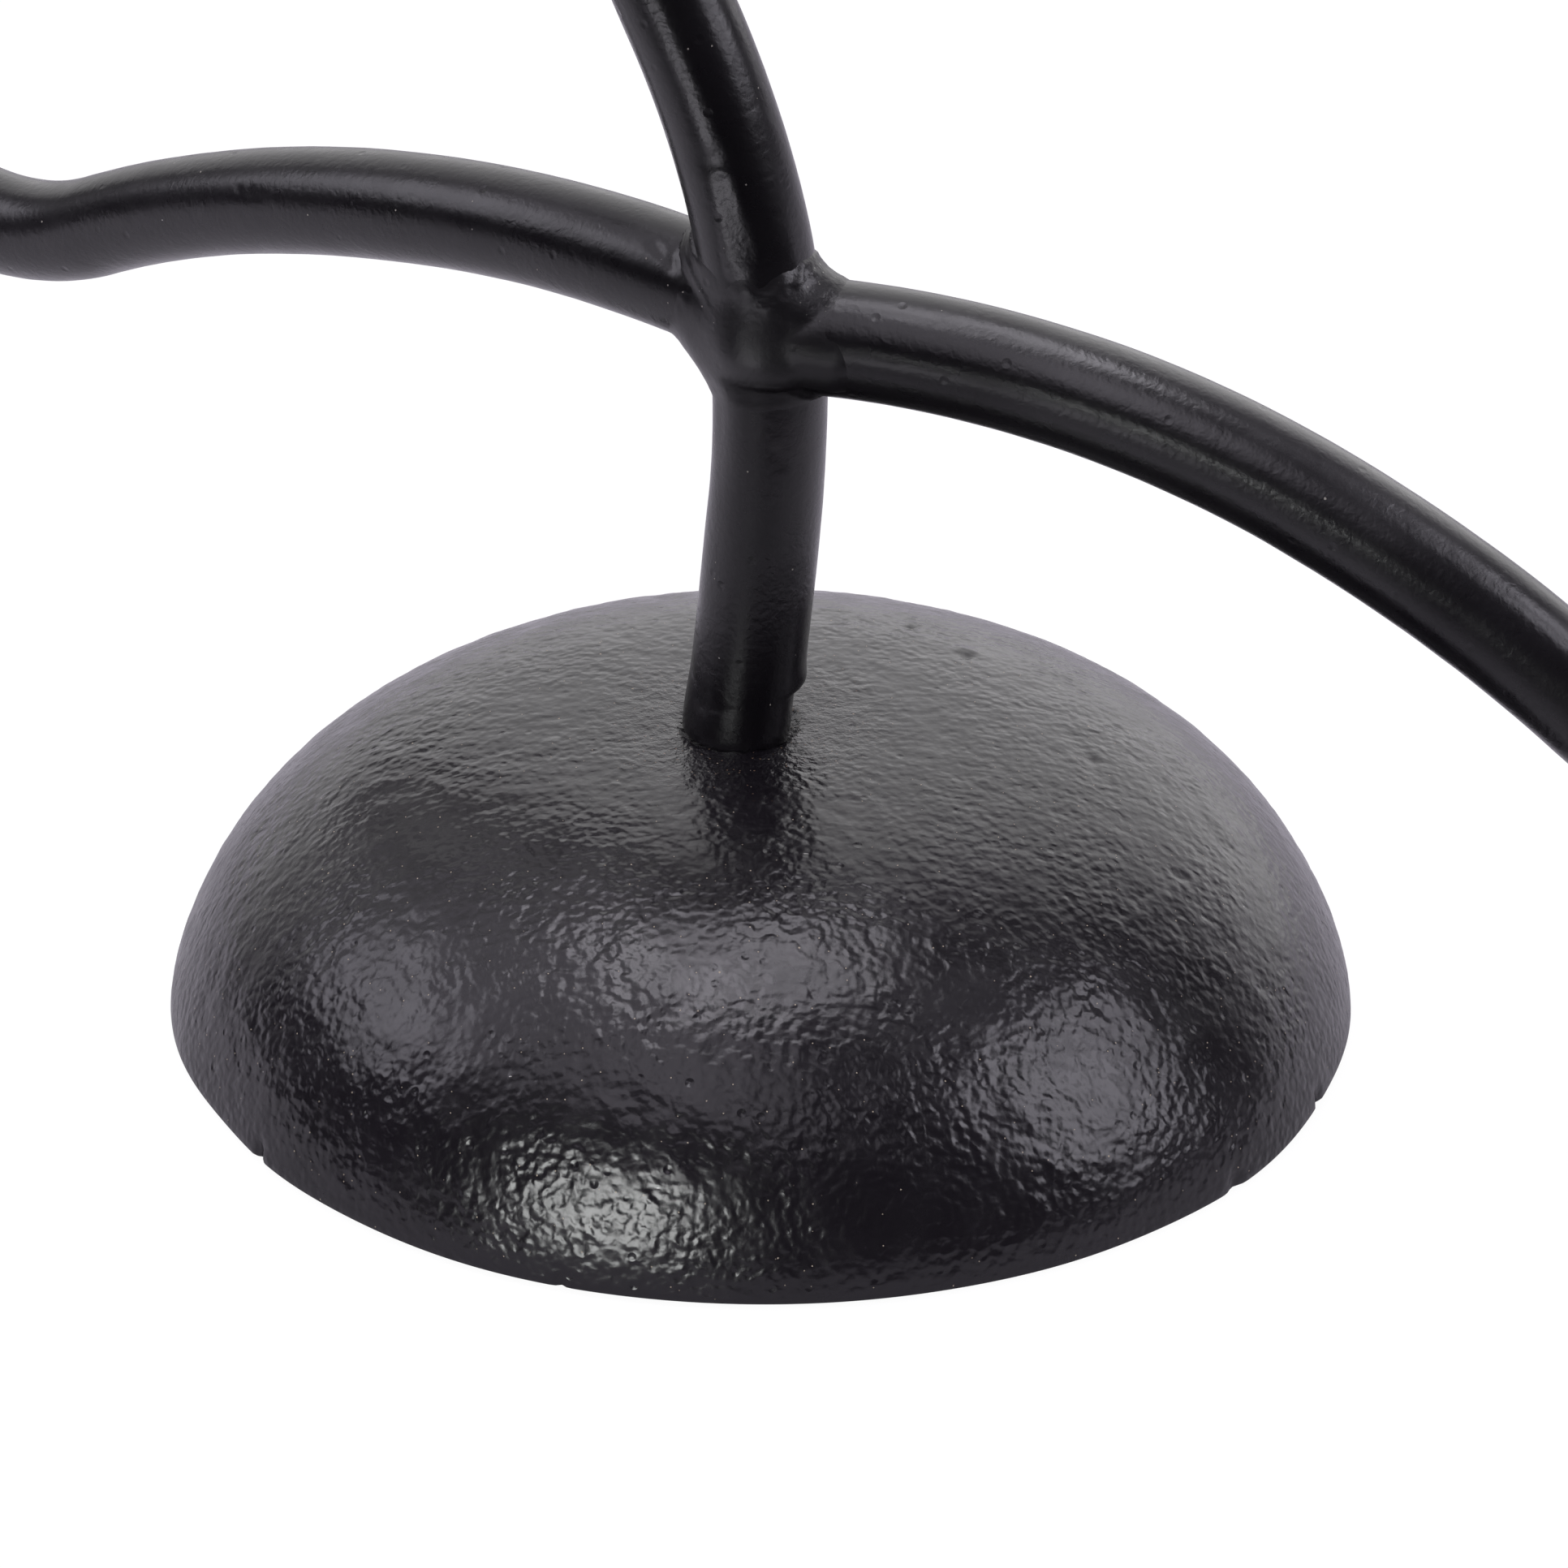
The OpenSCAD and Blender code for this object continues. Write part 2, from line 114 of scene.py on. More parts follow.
def newLine(name, points):
    return newMesh(name, points, [], [(i, i + 1) for i in range(len(points) - 1)])


def ringOf(radius, sides, x=0, y=0, z=0):
    around = [2 * math.pi * k / sides for k in range(sides)]
    return [(x + radius * math.cos(a), y + radius * math.sin(a), z) for a in around]


def pointsOf(piece):
    flat = np.zeros(len(piece.data.vertices) * 3)
    piece.data.vertices.foreach_get("co", flat)
    return flat.reshape(-1, 3) / mm


def movePoints(piece, points):
    piece.data.vertices.foreach_set("co", (points * mm).ravel())
    piece.data.update()


def faceOutward(piece):
    # turns a closed piece's faces over when they point inwards
    faces = piece.data.polygons
    normal, middle, area = np.zeros(len(faces) * 3), np.zeros(len(faces) * 3), np.zeros(len(faces))
    faces.foreach_get("normal", normal)
    faces.foreach_get("center", middle)
    faces.foreach_get("area", area)
    if ((normal * middle).reshape(-1, 3).sum(1) * area).sum() < 0:
        piece.data.flip_normals()


def newTree(name, inputs):
    tree = bpy.data.node_groups.new(name, "GeometryNodeTree")
    tree.interface.new_socket("Geometry", in_out="INPUT", socket_type="NodeSocketGeometry")
    for label, kind in inputs:
        tree.interface.new_socket(label, in_out="INPUT", socket_type="NodeSocket" + kind)
    tree.interface.new_socket("Geometry", in_out="OUTPUT", socket_type="NodeSocketGeometry")
    return tree, tree.nodes.new("NodeGroupInput").outputs, tree.nodes.new("NodeGroupOutput").inputs


def plug(tree, node, links):
    for socket, source in links.items():
        if hasattr(source, "is_output"):
            tree.links.new(source, node.inputs[socket])
        else:
            node.inputs[socket].default_value = source


def shade(tree, kind, links=None, prefix="ShaderNode", **settings):
    # adds a node, and gives its outputs
    node = tree.nodes.new(prefix + kind)
    for name, value in settings.items():
        setattr(node, name, value)
    plug(tree, node, links or {})
    return node.outputs


def geo(tree, kind, links=None, **settings):
    return shade(tree, kind, links, "GeometryNode", **settings)


def mathNode(tree, operation, a, b=0.0):
    return shade(tree, "Math", {0: a, 1: b}, operation=operation)[0]


def times(tree, value, *others):
    for other in others:
        value = mathNode(tree, "MULTIPLY", value, other)
    return value


def vectorNode(tree, operation, a, b, output="Value"):
    return shade(tree, "VectorMath", {0: a, 1: b}, operation=operation)[output]


def scaleNode(tree, vector, factor):
    return shade(tree, "VectorMath", {0: vector, "Scale": factor}, operation="SCALE")[0]


def partsOf(tree, vector):
    return shade(tree, "SeparateXYZ", {0: vector})


def addRange(tree, value, low, high, toLow=0.0, toHigh=1.0, kind="LINEAR"):
    span = {"Value": value, "From Min": low, "From Max": high, "To Min": toLow, "To Max": toHigh}
    return shade(tree, "MapRange", span, interpolation_type=kind)[0]


def softRange(tree, value, low, high, toLow=0.0, toHigh=1.0):
    return addRange(tree, value, low, high, toLow, toHigh, "SMOOTHSTEP")


# a surface is worked over its whole height when its dictionary gives no fade
wholeHeight = (-100.0, -99.0)
workNoise = {"Detail": 2.0, "Roughness": 0.45}
workInputs = [(name, "Float") for name in ("Lump Height", "Lump Size", "Grain Height", "Grain Size",
                                           "Fade From", "Fade To", "Seed")] + [("Material", "Material")]
mergeDistance = 1e-6


def workValues(work, material):
    # how a surface is worked, in metres, as inputs of a tree
    low, high = work.get("fade", wholeHeight)
    return {"Lump Height": work["lumpHeight"] * mm, "Lump Size": work["lumpSize"] * mm,
            "Grain Height": work["grainHeight"] * mm, "Grain Size": work["grainSize"] * mm,
            "Seed": work["seed"], "Material": material, "Fade From": low * mm, "Fade To": high * mm}


def runTree(piece, tree, values):
    modifier = piece.modifiers.new(tree.name, "NODES")
    modifier.node_group = tree
    for item in tree.interface.items_tree:
        if item.in_out == "INPUT" and item.name in values:
            modifier[item.identifier] = values[item.name]
    depsgraph = bpy.context.evaluated_depsgraph_get()
    mesh = bpy.data.meshes.new_from_object(piece.evaluated_get(depsgraph))
    piece.modifiers.remove(modifier)
    oldMesh = piece.data
    piece.data = mesh
    bpy.data.meshes.remove(oldMesh)


def unevenness(tree, geometry, height, size, given):
    # pushes a surface in and out along its normals, by noise that fades in over a range of heights
    position = geo(tree, "InputPosition")[0]
    fade = softRange(tree, partsOf(tree, position)[2], given["Fade From"], given["Fade To"])
    normal = geo(tree, "InputNormal")[0]
    scale = mathNode(tree, "DIVIDE", 1.0, size)
    lumps = shade(tree, "TexNoise", dict(workNoise, Vector=position, W=given["Seed"], Scale=scale),
                  noise_dimensions="4D")[0]
    lift = times(tree, mathNode(tree, "SUBTRACT", lumps, 0.5), height, fade)
    return geo(tree, "SetPosition", {"Geometry": geometry, "Offset": scaleNode(tree, normal, lift)})[0]


def workTree(tree, geometry, given, output):
    for kind in ("Lump", "Grain"):
        geometry = unevenness(tree, geometry, given[kind + " Height"], given[kind + " Size"], given)
    smoothed = geo(tree, "SetShadeSmooth", {"Geometry": geometry})[0]
    real = geo(tree, "RealizeInstances", {"Geometry": smoothed})[0]
    painted = geo(tree, "SetMaterial", {"Geometry": real, "Material": given["Material"]})
    tree.links.new(painted[0], output["Geometry"])


def makeSweepTree():
    tree, given, output = newTree("sweepBar", [("Radius", "Float"), ("Sides", "Int")] + workInputs)
    path = geo(tree, "MeshToCurve", {"Mesh": given["Geometry"]})[0]
    ring = geo(tree, "CurvePrimitiveCircle", {"Resolution": given["Sides"], "Radius": given["Radius"]})[0]
    bar = geo(tree, "CurveToMesh", {"Curve": path, "Profile Curve": ring, "Fill Caps": True})[0]
    workTree(tree, bar, given, output)
    return tree


def makeLatheTree():
    tree, given, output = newTree("turnProfile", [("Segments", "Int")] + workInputs)
    rings = geo(tree, "AttributeDomainSize", {0: given["Geometry"]})["Point Count"]
    grid = geo(tree, "MeshGrid", {"Size X": 1.0, "Size Y": 1.0, "Vertices Y": rings,
                                  "Vertices X": mathNode(tree, "ADD", given["Segments"], 1)})
    position = geo(tree, "InputPosition")[0]
    at = partsOf(tree, position)
    along = times(tree, mathNode(tree, "ADD", at[1], 0.5), mathNode(tree, "SUBTRACT", rings, 1))
    turn = times(tree, mathNode(tree, "ADD", at[0], 0.5), 2 * math.pi)
    onProfile = geo(tree, "SampleIndex", {
        "Geometry": given["Geometry"], "Value": position, "Index": mathNode(tree, "ROUND", along)},
        data_type="FLOAT_VECTOR")[0]
    place = partsOf(tree, onProfile)
    turned = shade(tree, "CombineXYZ", {
        0: times(tree, place[0], mathNode(tree, "COSINE", turn)),
        1: times(tree, place[0], mathNode(tree, "SINE", turn)), 2: place[2]})[0]
    shell = geo(tree, "SetPosition", {"Geometry": grid[0], "Position": turned})
    closed = geo(tree, "MergeByDistance", {"Geometry": shell[0], "Distance": mergeDistance})[0]
    workTree(tree, closed, given, output)
    return tree


sweepTree = makeSweepTree()
latheTree = makeLatheTree()


castPaint = {
    "name": "castPaint", "colour": (0.0056, 0.0045, 0.0064), "roughness": 0.25, "roughnessSpread": 0.04,
    "grainSize": 1.25, "grainDetail": 0.5, "grainBend": 0.15, "grainDepth": 0.235,
    "pitSize": 5.0, "pitDepth": 0.10, "fineSize": 0.3, "fineDepth": 0.008,
    "dustSize": 2.6, "dustShare": 0.13, "fineDustShare": 0.27, "dustColour": (0.32, 0.27, 0.21),
    # round the stem the paint is grittier, with brown grit left in it
    "grit": {"middle": (-2.5, 0.0, 42.0), "full": 10.0, "none": 27.0, "size": 0.5, "depth": 0.16,
             "speck": 0.9, "share": 0.5, "colour": (0.15, 0.10, 0.065)},
    "paintedSheen": [],
}
barPaint = {
    "name": "barPaint", "colour": (0.0042, 0.0034, 0.0048), "roughness": 0.28, "roughnessSpread": 0.03,
    "grainSize": 1.0, "grainDetail": 1.5, "grainBend": 0.4, "grainDepth": 0.052,
    "pitSize": 5.5, "pitDepth": 0.07, "fineSize": 0.3, "fineDepth": 0.005,
    "dustSize": 3.4, "dustShare": 0.08, "fineDustShare": 0.07, "dustColour": (0.30, 0.28, 0.25),
    "grit": None,
    # painted sheen, where the paint reflects more strongly: from, to, where it's full and where it ends, how
    # much
    "paintedSheen": [((-2.9, -8.4, 115.5), (-4.8, -7.6, 128.0), 1.2, 2.4, 1.0),
                 ((-5.5, -7.1, 131.5), (-9.1, -5.7, 140.7), 0.8, 1.8, 1.0),
                 ((-9.1, -5.7, 140.7), (-17.1, -2.5, 158.8), 0.8, 1.8, 1.0),
                 ((52.0, -18.0, 99.0), (76.0, -26.0, 90.0), 9.5, 24.0, 0.5)],
}
weldPaint = dict(
    barPaint, name="weldPaint", roughness=0.35, grainDepth=0.036,
    grit={"middle": (8.0, -6.5, 113.4), "full": 2.5, "none": 8.0, "size": 0.7, "depth": 0.08,
          "speck": 0.8, "share": 0.6, "colour": (0.16, 0.16, 0.14)},
    # painted sheen on the front of the weld, where it reflects more strongly
    paintedSheen=[((-3.0, -9.0, 105.0), (1.5, -9.5, 111.0), 3.5, 8.5, 0.7)])
# what the paints share; a reach is the share of its cell that a speck takes up
wear = {
    "colourPatch": 18.0, "glossPatch": 6.0,
    "grainPatch": 13.0, "grainSpan": (0.35, 0.65), "grainRange": (0.5, 1.2),
    "pitEdge": (0.03, 0.13), "pitSmoothness": 0.3, "dustReach": 0.055, "dustRoughness": 0.8,
    "fineDustSize": 0.45, "fineDustReach": 0.085, "gritReach": 0.14, "gritDetail": 2.0,
    "mirroring": (0.5, 1.0), "sheenRippleSize": 0.9, "sheenRippleDetail": 1.5, "sheenRippleDepth": 0.05,
}
lint = {"size": 2.4, "stretch": 0.2, "share": 0.04, "reach": 0.035, "turns": (25.0, -48.0, 80.0),
        "colour": (0.30, 0.29, 0.28)}


# nearly all values of a noise lie in this span
noiseSpan = (0.3, 0.7)


def newMaterial(name):
    material = bpy.data.materials.new(name)
    material.use_nodes = True
    tree = material.node_tree
    shader = next(n for n in tree.nodes if n.type == "BSDF_PRINCIPLED")
    at = shade(tree, "TexCoord")["Object"]
    return material, tree, shader, at


def addNoise(tree, at, size, detail=3.0, distortion=0.0, roughness=0.5):
    return shade(tree, "TexNoise", {
        "Vector": at, "Scale": 1 / (size * mm), "Detail": detail, "Roughness": roughness,
        "Distortion": distortion})[0]


def shades(finish):
    # the darkest and the palest colour of a finish
    return [np.array(finish["colour"]) * share for share in finish.get("colourRange", (0.8, 1.25))]


def addPatches(tree, at, size, low=0.0, high=1.0, span=noiseSpan):
    # drifts between low and high in soft patches
    return addRange(tree, addNoise(tree, at, size), *span, low, high)


def addBump(tree, height, depth, under=None):
    links = {"Height": height, "Strength": 1.0, "Distance": depth * mm}
    if under is not None:
        links["Normal"] = under
    return shade(tree, "Bump", links)[0]


def addSpecks(tree, at, size, share, reach, channel=0):
    # 1 on a speck and 0 elsewhere, with only a share of the cells holding a speck
    cells = shade(tree, "TexVoronoi", {"Vector": at, "Scale": 1 / (size * mm)})
    pick = shade(tree, "SeparateColor", {0: cells["Color"]})[channel]
    return times(tree, mathNode(tree, "LESS_THAN", cells["Distance"], reach),
                 mathNode(tree, "LESS_THAN", pick, share))


def addLint(tree, at):
    # short fibres lying on the paint
    whole = 0.0
    for turn in lint["turns"]:
        turned = shade(tree, "Mapping", {
            "Vector": at, "Rotation": (0, 0, math.radians(turn)), "Scale": (lint["stretch"], 1.0, 1.0)})
        fibres = addSpecks(tree, turned[0], lint["size"], lint["share"], lint["reach"], channel=1)
        whole = mathNode(tree, "MAXIMUM", fibres, whole)
    return whole


def addPaintedSheen(tree, at, places):
    # 1 where the painted sheen is full and 0 elsewhere
    whole = 0.0
    for start, end, full, none, share in places:
        start, end = Vector(start) * mm, Vector(end) * mm
        length = (end - start).length
        out = vectorNode(tree, "SUBTRACT", at, start, "Vector")
        along = vectorNode(tree, "DOT_PRODUCT", out, (end - start) / length)
        along = mathNode(tree, "MINIMUM", mathNode(tree, "MAXIMUM", along, 0.0), length)
        away = vectorNode(tree, "DISTANCE", out, scaleNode(tree, (end - start) / length, along))
        whole = mathNode(tree, "MAXIMUM", softRange(tree, away, none * mm, full * mm, 0.0, share), whole)
    return whole


def mixColour(tree, factor, a, b):
    a, b = [colour if hasattr(colour, "is_output") else (*colour, 1) for colour in (a, b)]
    mix = tree.nodes.new("ShaderNodeMix")
    mix.data_type = "RGBA"
    plug(tree, mix, {"Factor": factor, 6: a, 7: b})
    return mix.outputs[2]


def paintNormal(tree, at, paint):
    # the grain is stronger in some patches than in others
    strength = addPatches(tree, at, wear["grainPatch"], *wear["grainRange"], wear["grainSpan"])
    grain = addNoise(tree, at, paint["grainSize"], paint["grainDetail"], paint["grainBend"])
    grain = times(tree, mathNode(tree, "SUBTRACT", grain, 0.5), strength)
    pits = shade(tree, "TexVoronoi", {"Vector": at, "Scale": 1 / (paint["pitSize"] * mm),
                                      "Smoothness": wear["pitSmoothness"]}, feature="SMOOTH_F1")
    normal = addBump(tree, grain, paint["grainDepth"])
    normal = addBump(tree, addRange(tree, pits["Distance"], *wear["pitEdge"]), paint["pitDepth"], normal)
    return addBump(tree, addNoise(tree, at, paint["fineSize"]), paint["fineDepth"], normal)


def makePaint(paint):
    material, tree, shader, at = newMaterial(paint["name"])
    darker, paler = shades(paint)
    colour = mixColour(tree, addPatches(tree, at, wear["colourPatch"]), darker, paler)
    dust = mathNode(tree, "MAXIMUM",
                    addSpecks(tree, at, paint["dustSize"], paint["dustShare"], wear["dustReach"]),
                    addSpecks(tree, at, paint["dustSize"] * wear["fineDustSize"], paint["fineDustShare"],
                              wear["fineDustReach"]))
    colour = mixColour(tree, dust, colour, paint["dustColour"])
    colour = mixColour(tree, addLint(tree, at), colour, lint["colour"])
    gloss = addPatches(tree, at, wear["glossPatch"], paint["roughness"] - paint["roughnessSpread"],
                       paint["roughness"] + paint["roughnessSpread"])
    plug(tree, shader, {"Roughness": addRange(tree, dust, 0.0, 1.0, gloss, wear["dustRoughness"])})
    normal = paintNormal(tree, at, paint)
    grit = paint["grit"]
    if grit:
        away = vectorNode(tree, "DISTANCE", at, Vector(grit["middle"]) * mm)
        gritty = softRange(tree, away, grit["none"] * mm, grit["full"] * mm)
        grains = times(tree, addNoise(tree, at, grit["size"], detail=wear["gritDetail"]), gritty)
        normal = addBump(tree, grains, grit["depth"], normal)
        specks = times(tree, addSpecks(tree, at, grit["speck"], grit["share"], wear["gritReach"]), gritty)
        colour = mixColour(tree, specks, colour, grit["colour"])
    # painted sheen: the paint reflects more strongly in these places, with a slight ripple bumped into them
    if paint["paintedSheen"]:
        sheenMask = addPaintedSheen(tree, at, paint["paintedSheen"])
        plug(tree, shader, {"Specular IOR Level": addRange(tree, sheenMask, 0.0, 1.0, *wear["mirroring"])})
        ripple = times(tree, addNoise(tree, at, wear["sheenRippleSize"], detail=wear["sheenRippleDetail"]), sheenMask)
        normal = addBump(tree, ripple, wear["sheenRippleDepth"], normal)
    plug(tree, shader, {"Base Color": colour, "Normal": normal})
    return material


zincFinish = {"colour": (0.52, 0.53, 0.55), "patchSize": 2.5, "colourRange": (0.85, 1.1), "glossSize": 1.2,
              "roughness": (0.26, 0.44), "brushSize": 0.5, "brushDepth": 0.006}
feltFinish = {"colour": (0.055, 0.06, 0.064), "colourRange": (0.6, 1.4), "roughness": 0.95, "sheen": 0.4,
              "sheenRoughness": 0.5, "fibreSize": 0.35, "fibreDepth": 0.12, "fibreDetail": 6.0,
              "fibreBend": 1.5, "fibreRoughness": 0.7}


def makeZinc():
    material, tree, shader, at = newMaterial("zincSteel")
    darker, paler = shades(zincFinish)
    plug(tree, shader, {
        "Metallic": 1.0,
        "Roughness": addPatches(tree, at, zincFinish["glossSize"], *zincFinish["roughness"]),
        "Base Color": mixColour(tree, addPatches(tree, at, zincFinish["patchSize"]), darker, paler),
        "Normal": addBump(tree, addNoise(tree, at, zincFinish["brushSize"]), zincFinish["brushDepth"])})
    return material


def makeFelt():
    material, tree, shader, at = newMaterial("feltCloth")
    fibres = addNoise(tree, at, feltFinish["fibreSize"], feltFinish["fibreDetail"], feltFinish["fibreBend"],
                      feltFinish["fibreRoughness"])
    darker, paler = shades(feltFinish)
    plug(tree, shader, {
        "Roughness": feltFinish["roughness"], "Sheen Weight": feltFinish["sheen"],
        "Sheen Roughness": feltFinish["sheenRoughness"],
        "Base Color": mixColour(tree, addRange(tree, fibres, *noiseSpan), darker, paler),
        "Normal": addBump(tree, fibres, feltFinish["fibreDepth"])})
    return material


castMaterial = makePaint(castPaint)
barMaterial = makePaint(barPaint)
weldMaterial = makePaint(weldPaint)
zincMaterial = makeZinc()
feltMaterial = makeFelt()
print("materials: made")


foot = {
    "radius": 85.0, "height": 42.0, "crown": 3.4, "side": 1.46, "skirt": 0.5, "bottom": 0.5, "wall": 14.0,
    "feltRadius": 79.15, "feltTop": 1.5, "lean": -1.4, "leanFrom": 30.0, "segments": 660, "outerRings": 124,
    "innerRings": 16, "fineSteps": 40,
    # the rounded lower edge: how far in and how high
    "edge": [(0.1, 0.25), (0.4, 0.05), (0.9, 0.0)],
    # waves in the rim: angle from straight ahead (plus is to the right), half width in degrees, how far out
    "waves": [(-100, 12, -0.3), (-62, 9, -0.8), (-42, 13, -0.6), (-10, 22, -0.5), (30, 10, 0.4),
              (52, 14, 1.2), (78, 10, 0.4), (120, 20, -0.5), (165, 18, 0.5), (-140, 16, -0.6)],
    "rimFrom": (60.0, 80.0), "waveFades": (4.0, 24.0), "nickFades": (1.5, 5.0),
    "stemAt": (-2.5, 0.0), "seatRadius": 8.3, "seatDepth": 0.8, "seatEdge": (-0.3, 0.5), "seatAbove": 30.0,
    "levelRound": 14.0,
    "boss": {"radius": 16.0, "low": 16.0, "sides": 48, "sunk": 2.0},
    "ribs": {"count": 4, "thickness": 7.0, "turn": 45.0, "steps": 10, "reach": 0.97, "sunk": 1.5},
    # pits in the top: place, width along x and y, depth
    "pits": [(23.2, 34.3, 0.9, 0.9, 0.45), (30.9, 26.9, 1.8, 0.8, -0.3), (31.4, 24.5, 0.8, 0.8, 0.4),
             (42.6, 26.9, 0.9, 0.9, 0.35), (48.1, -2.8, 1.0, 1.0, 0.4), (58.5, -24.2, 1.1, 0.9, 0.4),
             (12.4, 40.1, 2.6, 0.9, -0.25)],
    # shallow scars in the top: from, to, width, depth
    "scars": [((45.5, 2.9), (49.3, -8.3), 1.0, 0.16), ((60.0, 3.1), (62.8, -7.7), 1.0, 0.16),
              ((62.8, -7.7), (65.1, -11.6), 0.9, 0.12), ((51.6, -36.2), (56.7, -28.9), 1.0, -0.1)],
    # pits and scars touch only the skin, down to this depth
    "skin": 4.0,
    # nicks in the lower edge: angle from straight ahead (plus is to the right), width, depth
    "nicks": [(-54.5, 1.5, 0.9), (-88.0, 2.0, 0.7), (49.0, 2.5, 0.6), (66.0, 1.8, 0.7), (-18.0, 1.2, 0.5)],
}
footWork = {"lumpHeight": 0.42, "lumpSize": 4.5, "grainHeight": 0.22, "grainSize": 1.9, "seed": 4.0,
            "fade": (1.0, 5.0)}
rimLow = foot["bottom"] + foot["skirt"]
hollow = {"radius": foot["radius"] - foot["wall"], "rise": foot["height"] - foot["wall"] - foot["skirt"]}


def domeArc(radius, rise, count):
    # evenly spaced along the side, from the crown down to the rim
    a = np.linspace(math.pi / 2, 0, foot["fineSteps"] * count)
    r = radius * np.clip(np.cos(a), 0, 1) ** (2 / foot["crown"])
    z = rimLow + rise * np.sin(a) ** (2 / foot["side"])
    r[0] = 0.0
    along = np.concatenate([[0], np.cumsum(np.hypot(np.diff(r), np.diff(z)))])
    even = np.linspace(0, along[-1], count)
    return list(zip(np.interp(even, along, r), np.interp(even, along, z)))


def domeHeight(reach, radius, rise):
    return rimLow + rise * np.clip(1 - (reach / radius) ** foot["crown"], 0, 1) ** (1 / foot["side"])


def footProfile():
    outside = domeArc(foot["radius"], foot["height"] - foot["skirt"], foot["outerRings"])
    edge = [(foot["radius"] - inward, foot["bottom"] + up) for inward, up in foot["edge"]]
    recess = [(foot["feltRadius"], foot["bottom"]), (foot["feltRadius"], foot["feltTop"]),
              (hollow["radius"], foot["feltTop"])]
    return outside + edge + recess + domeArc(hollow["radius"], hollow["rise"], foot["innerRings"])[::-1]


def turnedPiece(name, profile, segments, work, material, move=(0, 0, 0)):
    # a shell of revolution from a list of (radius, height)
    piece = newLine(name, [(r, 0.0, z) for r, z in profile])
    runTree(piece, latheTree, dict(workValues(work, material), Segments=segments))
    piece.data.materials.clear()
    piece.data.materials.append(material)
    piece.data.polygons.foreach_set("material_index", [0] * len(piece.data.polygons))
    faceOutward(piece)
    movePoints(piece, pointsOf(piece) + np.array(move))
    return piece


def shapeFoot(piece):
    p = pointsOf(piece)
    angle = np.degrees(np.arctan2(p[:, 0], -p[:, 1]))
    reach = np.hypot(p[:, 0], p[:, 1])
    outer = smooth(reach, *foot["rimFrom"])
    # the rim isn't a true circle, and its edge is nicked
    outward = np.zeros(len(p))
    waved, nicked = [1 - smooth(p[:, 2], *foot[fades]) for fades in ("waveFades", "nickFades")]
    for at, width, height in foot["waves"]:
        outward += height * hump(fromAngle(angle, at), 0, width) * waved * outer
    for at, width, depth in foot["nicks"]:
        across = fromAngle(angle, at) * math.pi / 180 * foot["radius"]
        outward -= depth * hump(across, 0, width / 2) * nicked * outer
    p[:, :2] *= (1 + outward / np.maximum(reach, 1))[:, None]
    # the seat that the stem stands in
    fromStem = np.hypot(p[:, 0] - foot["stemAt"][0], p[:, 1] - foot["stemAt"][1])
    inner, outer = [foot["seatRadius"] + step for step in foot["seatEdge"]]
    p[:, 2] -= foot["seatDepth"] * (1 - smooth(fromStem, inner, outer)) * (p[:, 2] > foot["seatAbove"])
    surface = domeHeight(reach, foot["radius"], foot["height"] - foot["skirt"])
    outside = p[:, 2] > surface - foot["skin"]
    for x, y, wide, deep, depth in foot["pits"]:
        p[:, 2] -= depth * hump(p[:, 0], x, wide) * hump(p[:, 1], y, deep) * outside
    for start, end, width, depth in foot["scars"]:
        p[:, 2] -= depth * hump(toSegment(p[:, :2], start, end), 0, width) * outside
    crown = smooth(p[:, 2], foot["leanFrom"], foot["height"])
    p[:, 0] += foot["lean"] * crown * (1 - hump(fromStem, 0, foot["levelRound"]))
    movePoints(piece, p)


def loft(rings):
    # a closed solid through rings of points
    count = len(rings[0])
    last = (len(rings) - 1) * count
    faces = [tuple(range(count - 1, -1, -1)), tuple(range(last, last + count))]
    for low in range(0, last, count):
        faces += [(low + k, low + (k + 1) % count, low + count + (k + 1) % count, low + count + k)
                  for k in range(count)]
    return [p for ring in rings for p in ring], faces


def bossRings():
    boss = foot["boss"]
    return [ringOf(boss["radius"], boss["sides"], *foot["stemAt"], z)
            for z in (boss["low"], foot["height"] - foot["wall"] + boss["sunk"])]


def ribRings(turn):
    ribs, low = foot["ribs"], foot["boss"]["low"]
    along = heading(turn)
    half = np.array([-along[1], along[0]]) * ribs["thickness"] / 2
    rings = []
    for r in np.linspace(0, hollow["radius"] * ribs["reach"], ribs["steps"]):
        z = domeHeight(r, hollow["radius"], hollow["rise"]) + ribs["sunk"]
        rings.append([(*(r * along + side * half), level) for side, level in (
            (1, max(z, low)), (-1, max(z, low)), (-1, min(z, low)), (1, min(z, low)))])
    return rings


def addCore(piece):
    # boss and ribs under the crown, each closed by itself
    first, count = foot["ribs"]["turn"], foot["ribs"]["count"]
    turns = [first + 360 * i / count for i in range(count)]
    both = bmesh.new()
    both.from_mesh(piece.data)
    for rings in [bossRings()] + [ribRings(turn) for turn in turns]:
        core = newMesh("core", *loft(rings))
        both.from_mesh(core.data)
        bpy.data.objects.remove(core)
    both.to_mesh(piece.data)
    both.free()


dome = turnedPiece("castFoot", footProfile(), foot["segments"], footWork, castMaterial)
shapeFoot(dome)
addCore(dome)
print("foot: made,", len(dome.data.polygons), "faces")


footTop = foot["bottom"] + foot["height"]
seatHeight = footTop - foot["seatDepth"]
barWork = {"lumpHeight": 0.16, "lumpSize": 14.0, "grainHeight": 0.05, "grainSize": 3.5, "seed": 9.0}
barShape = {"radius": 8.0, "sides": 76, "step": 0.55}

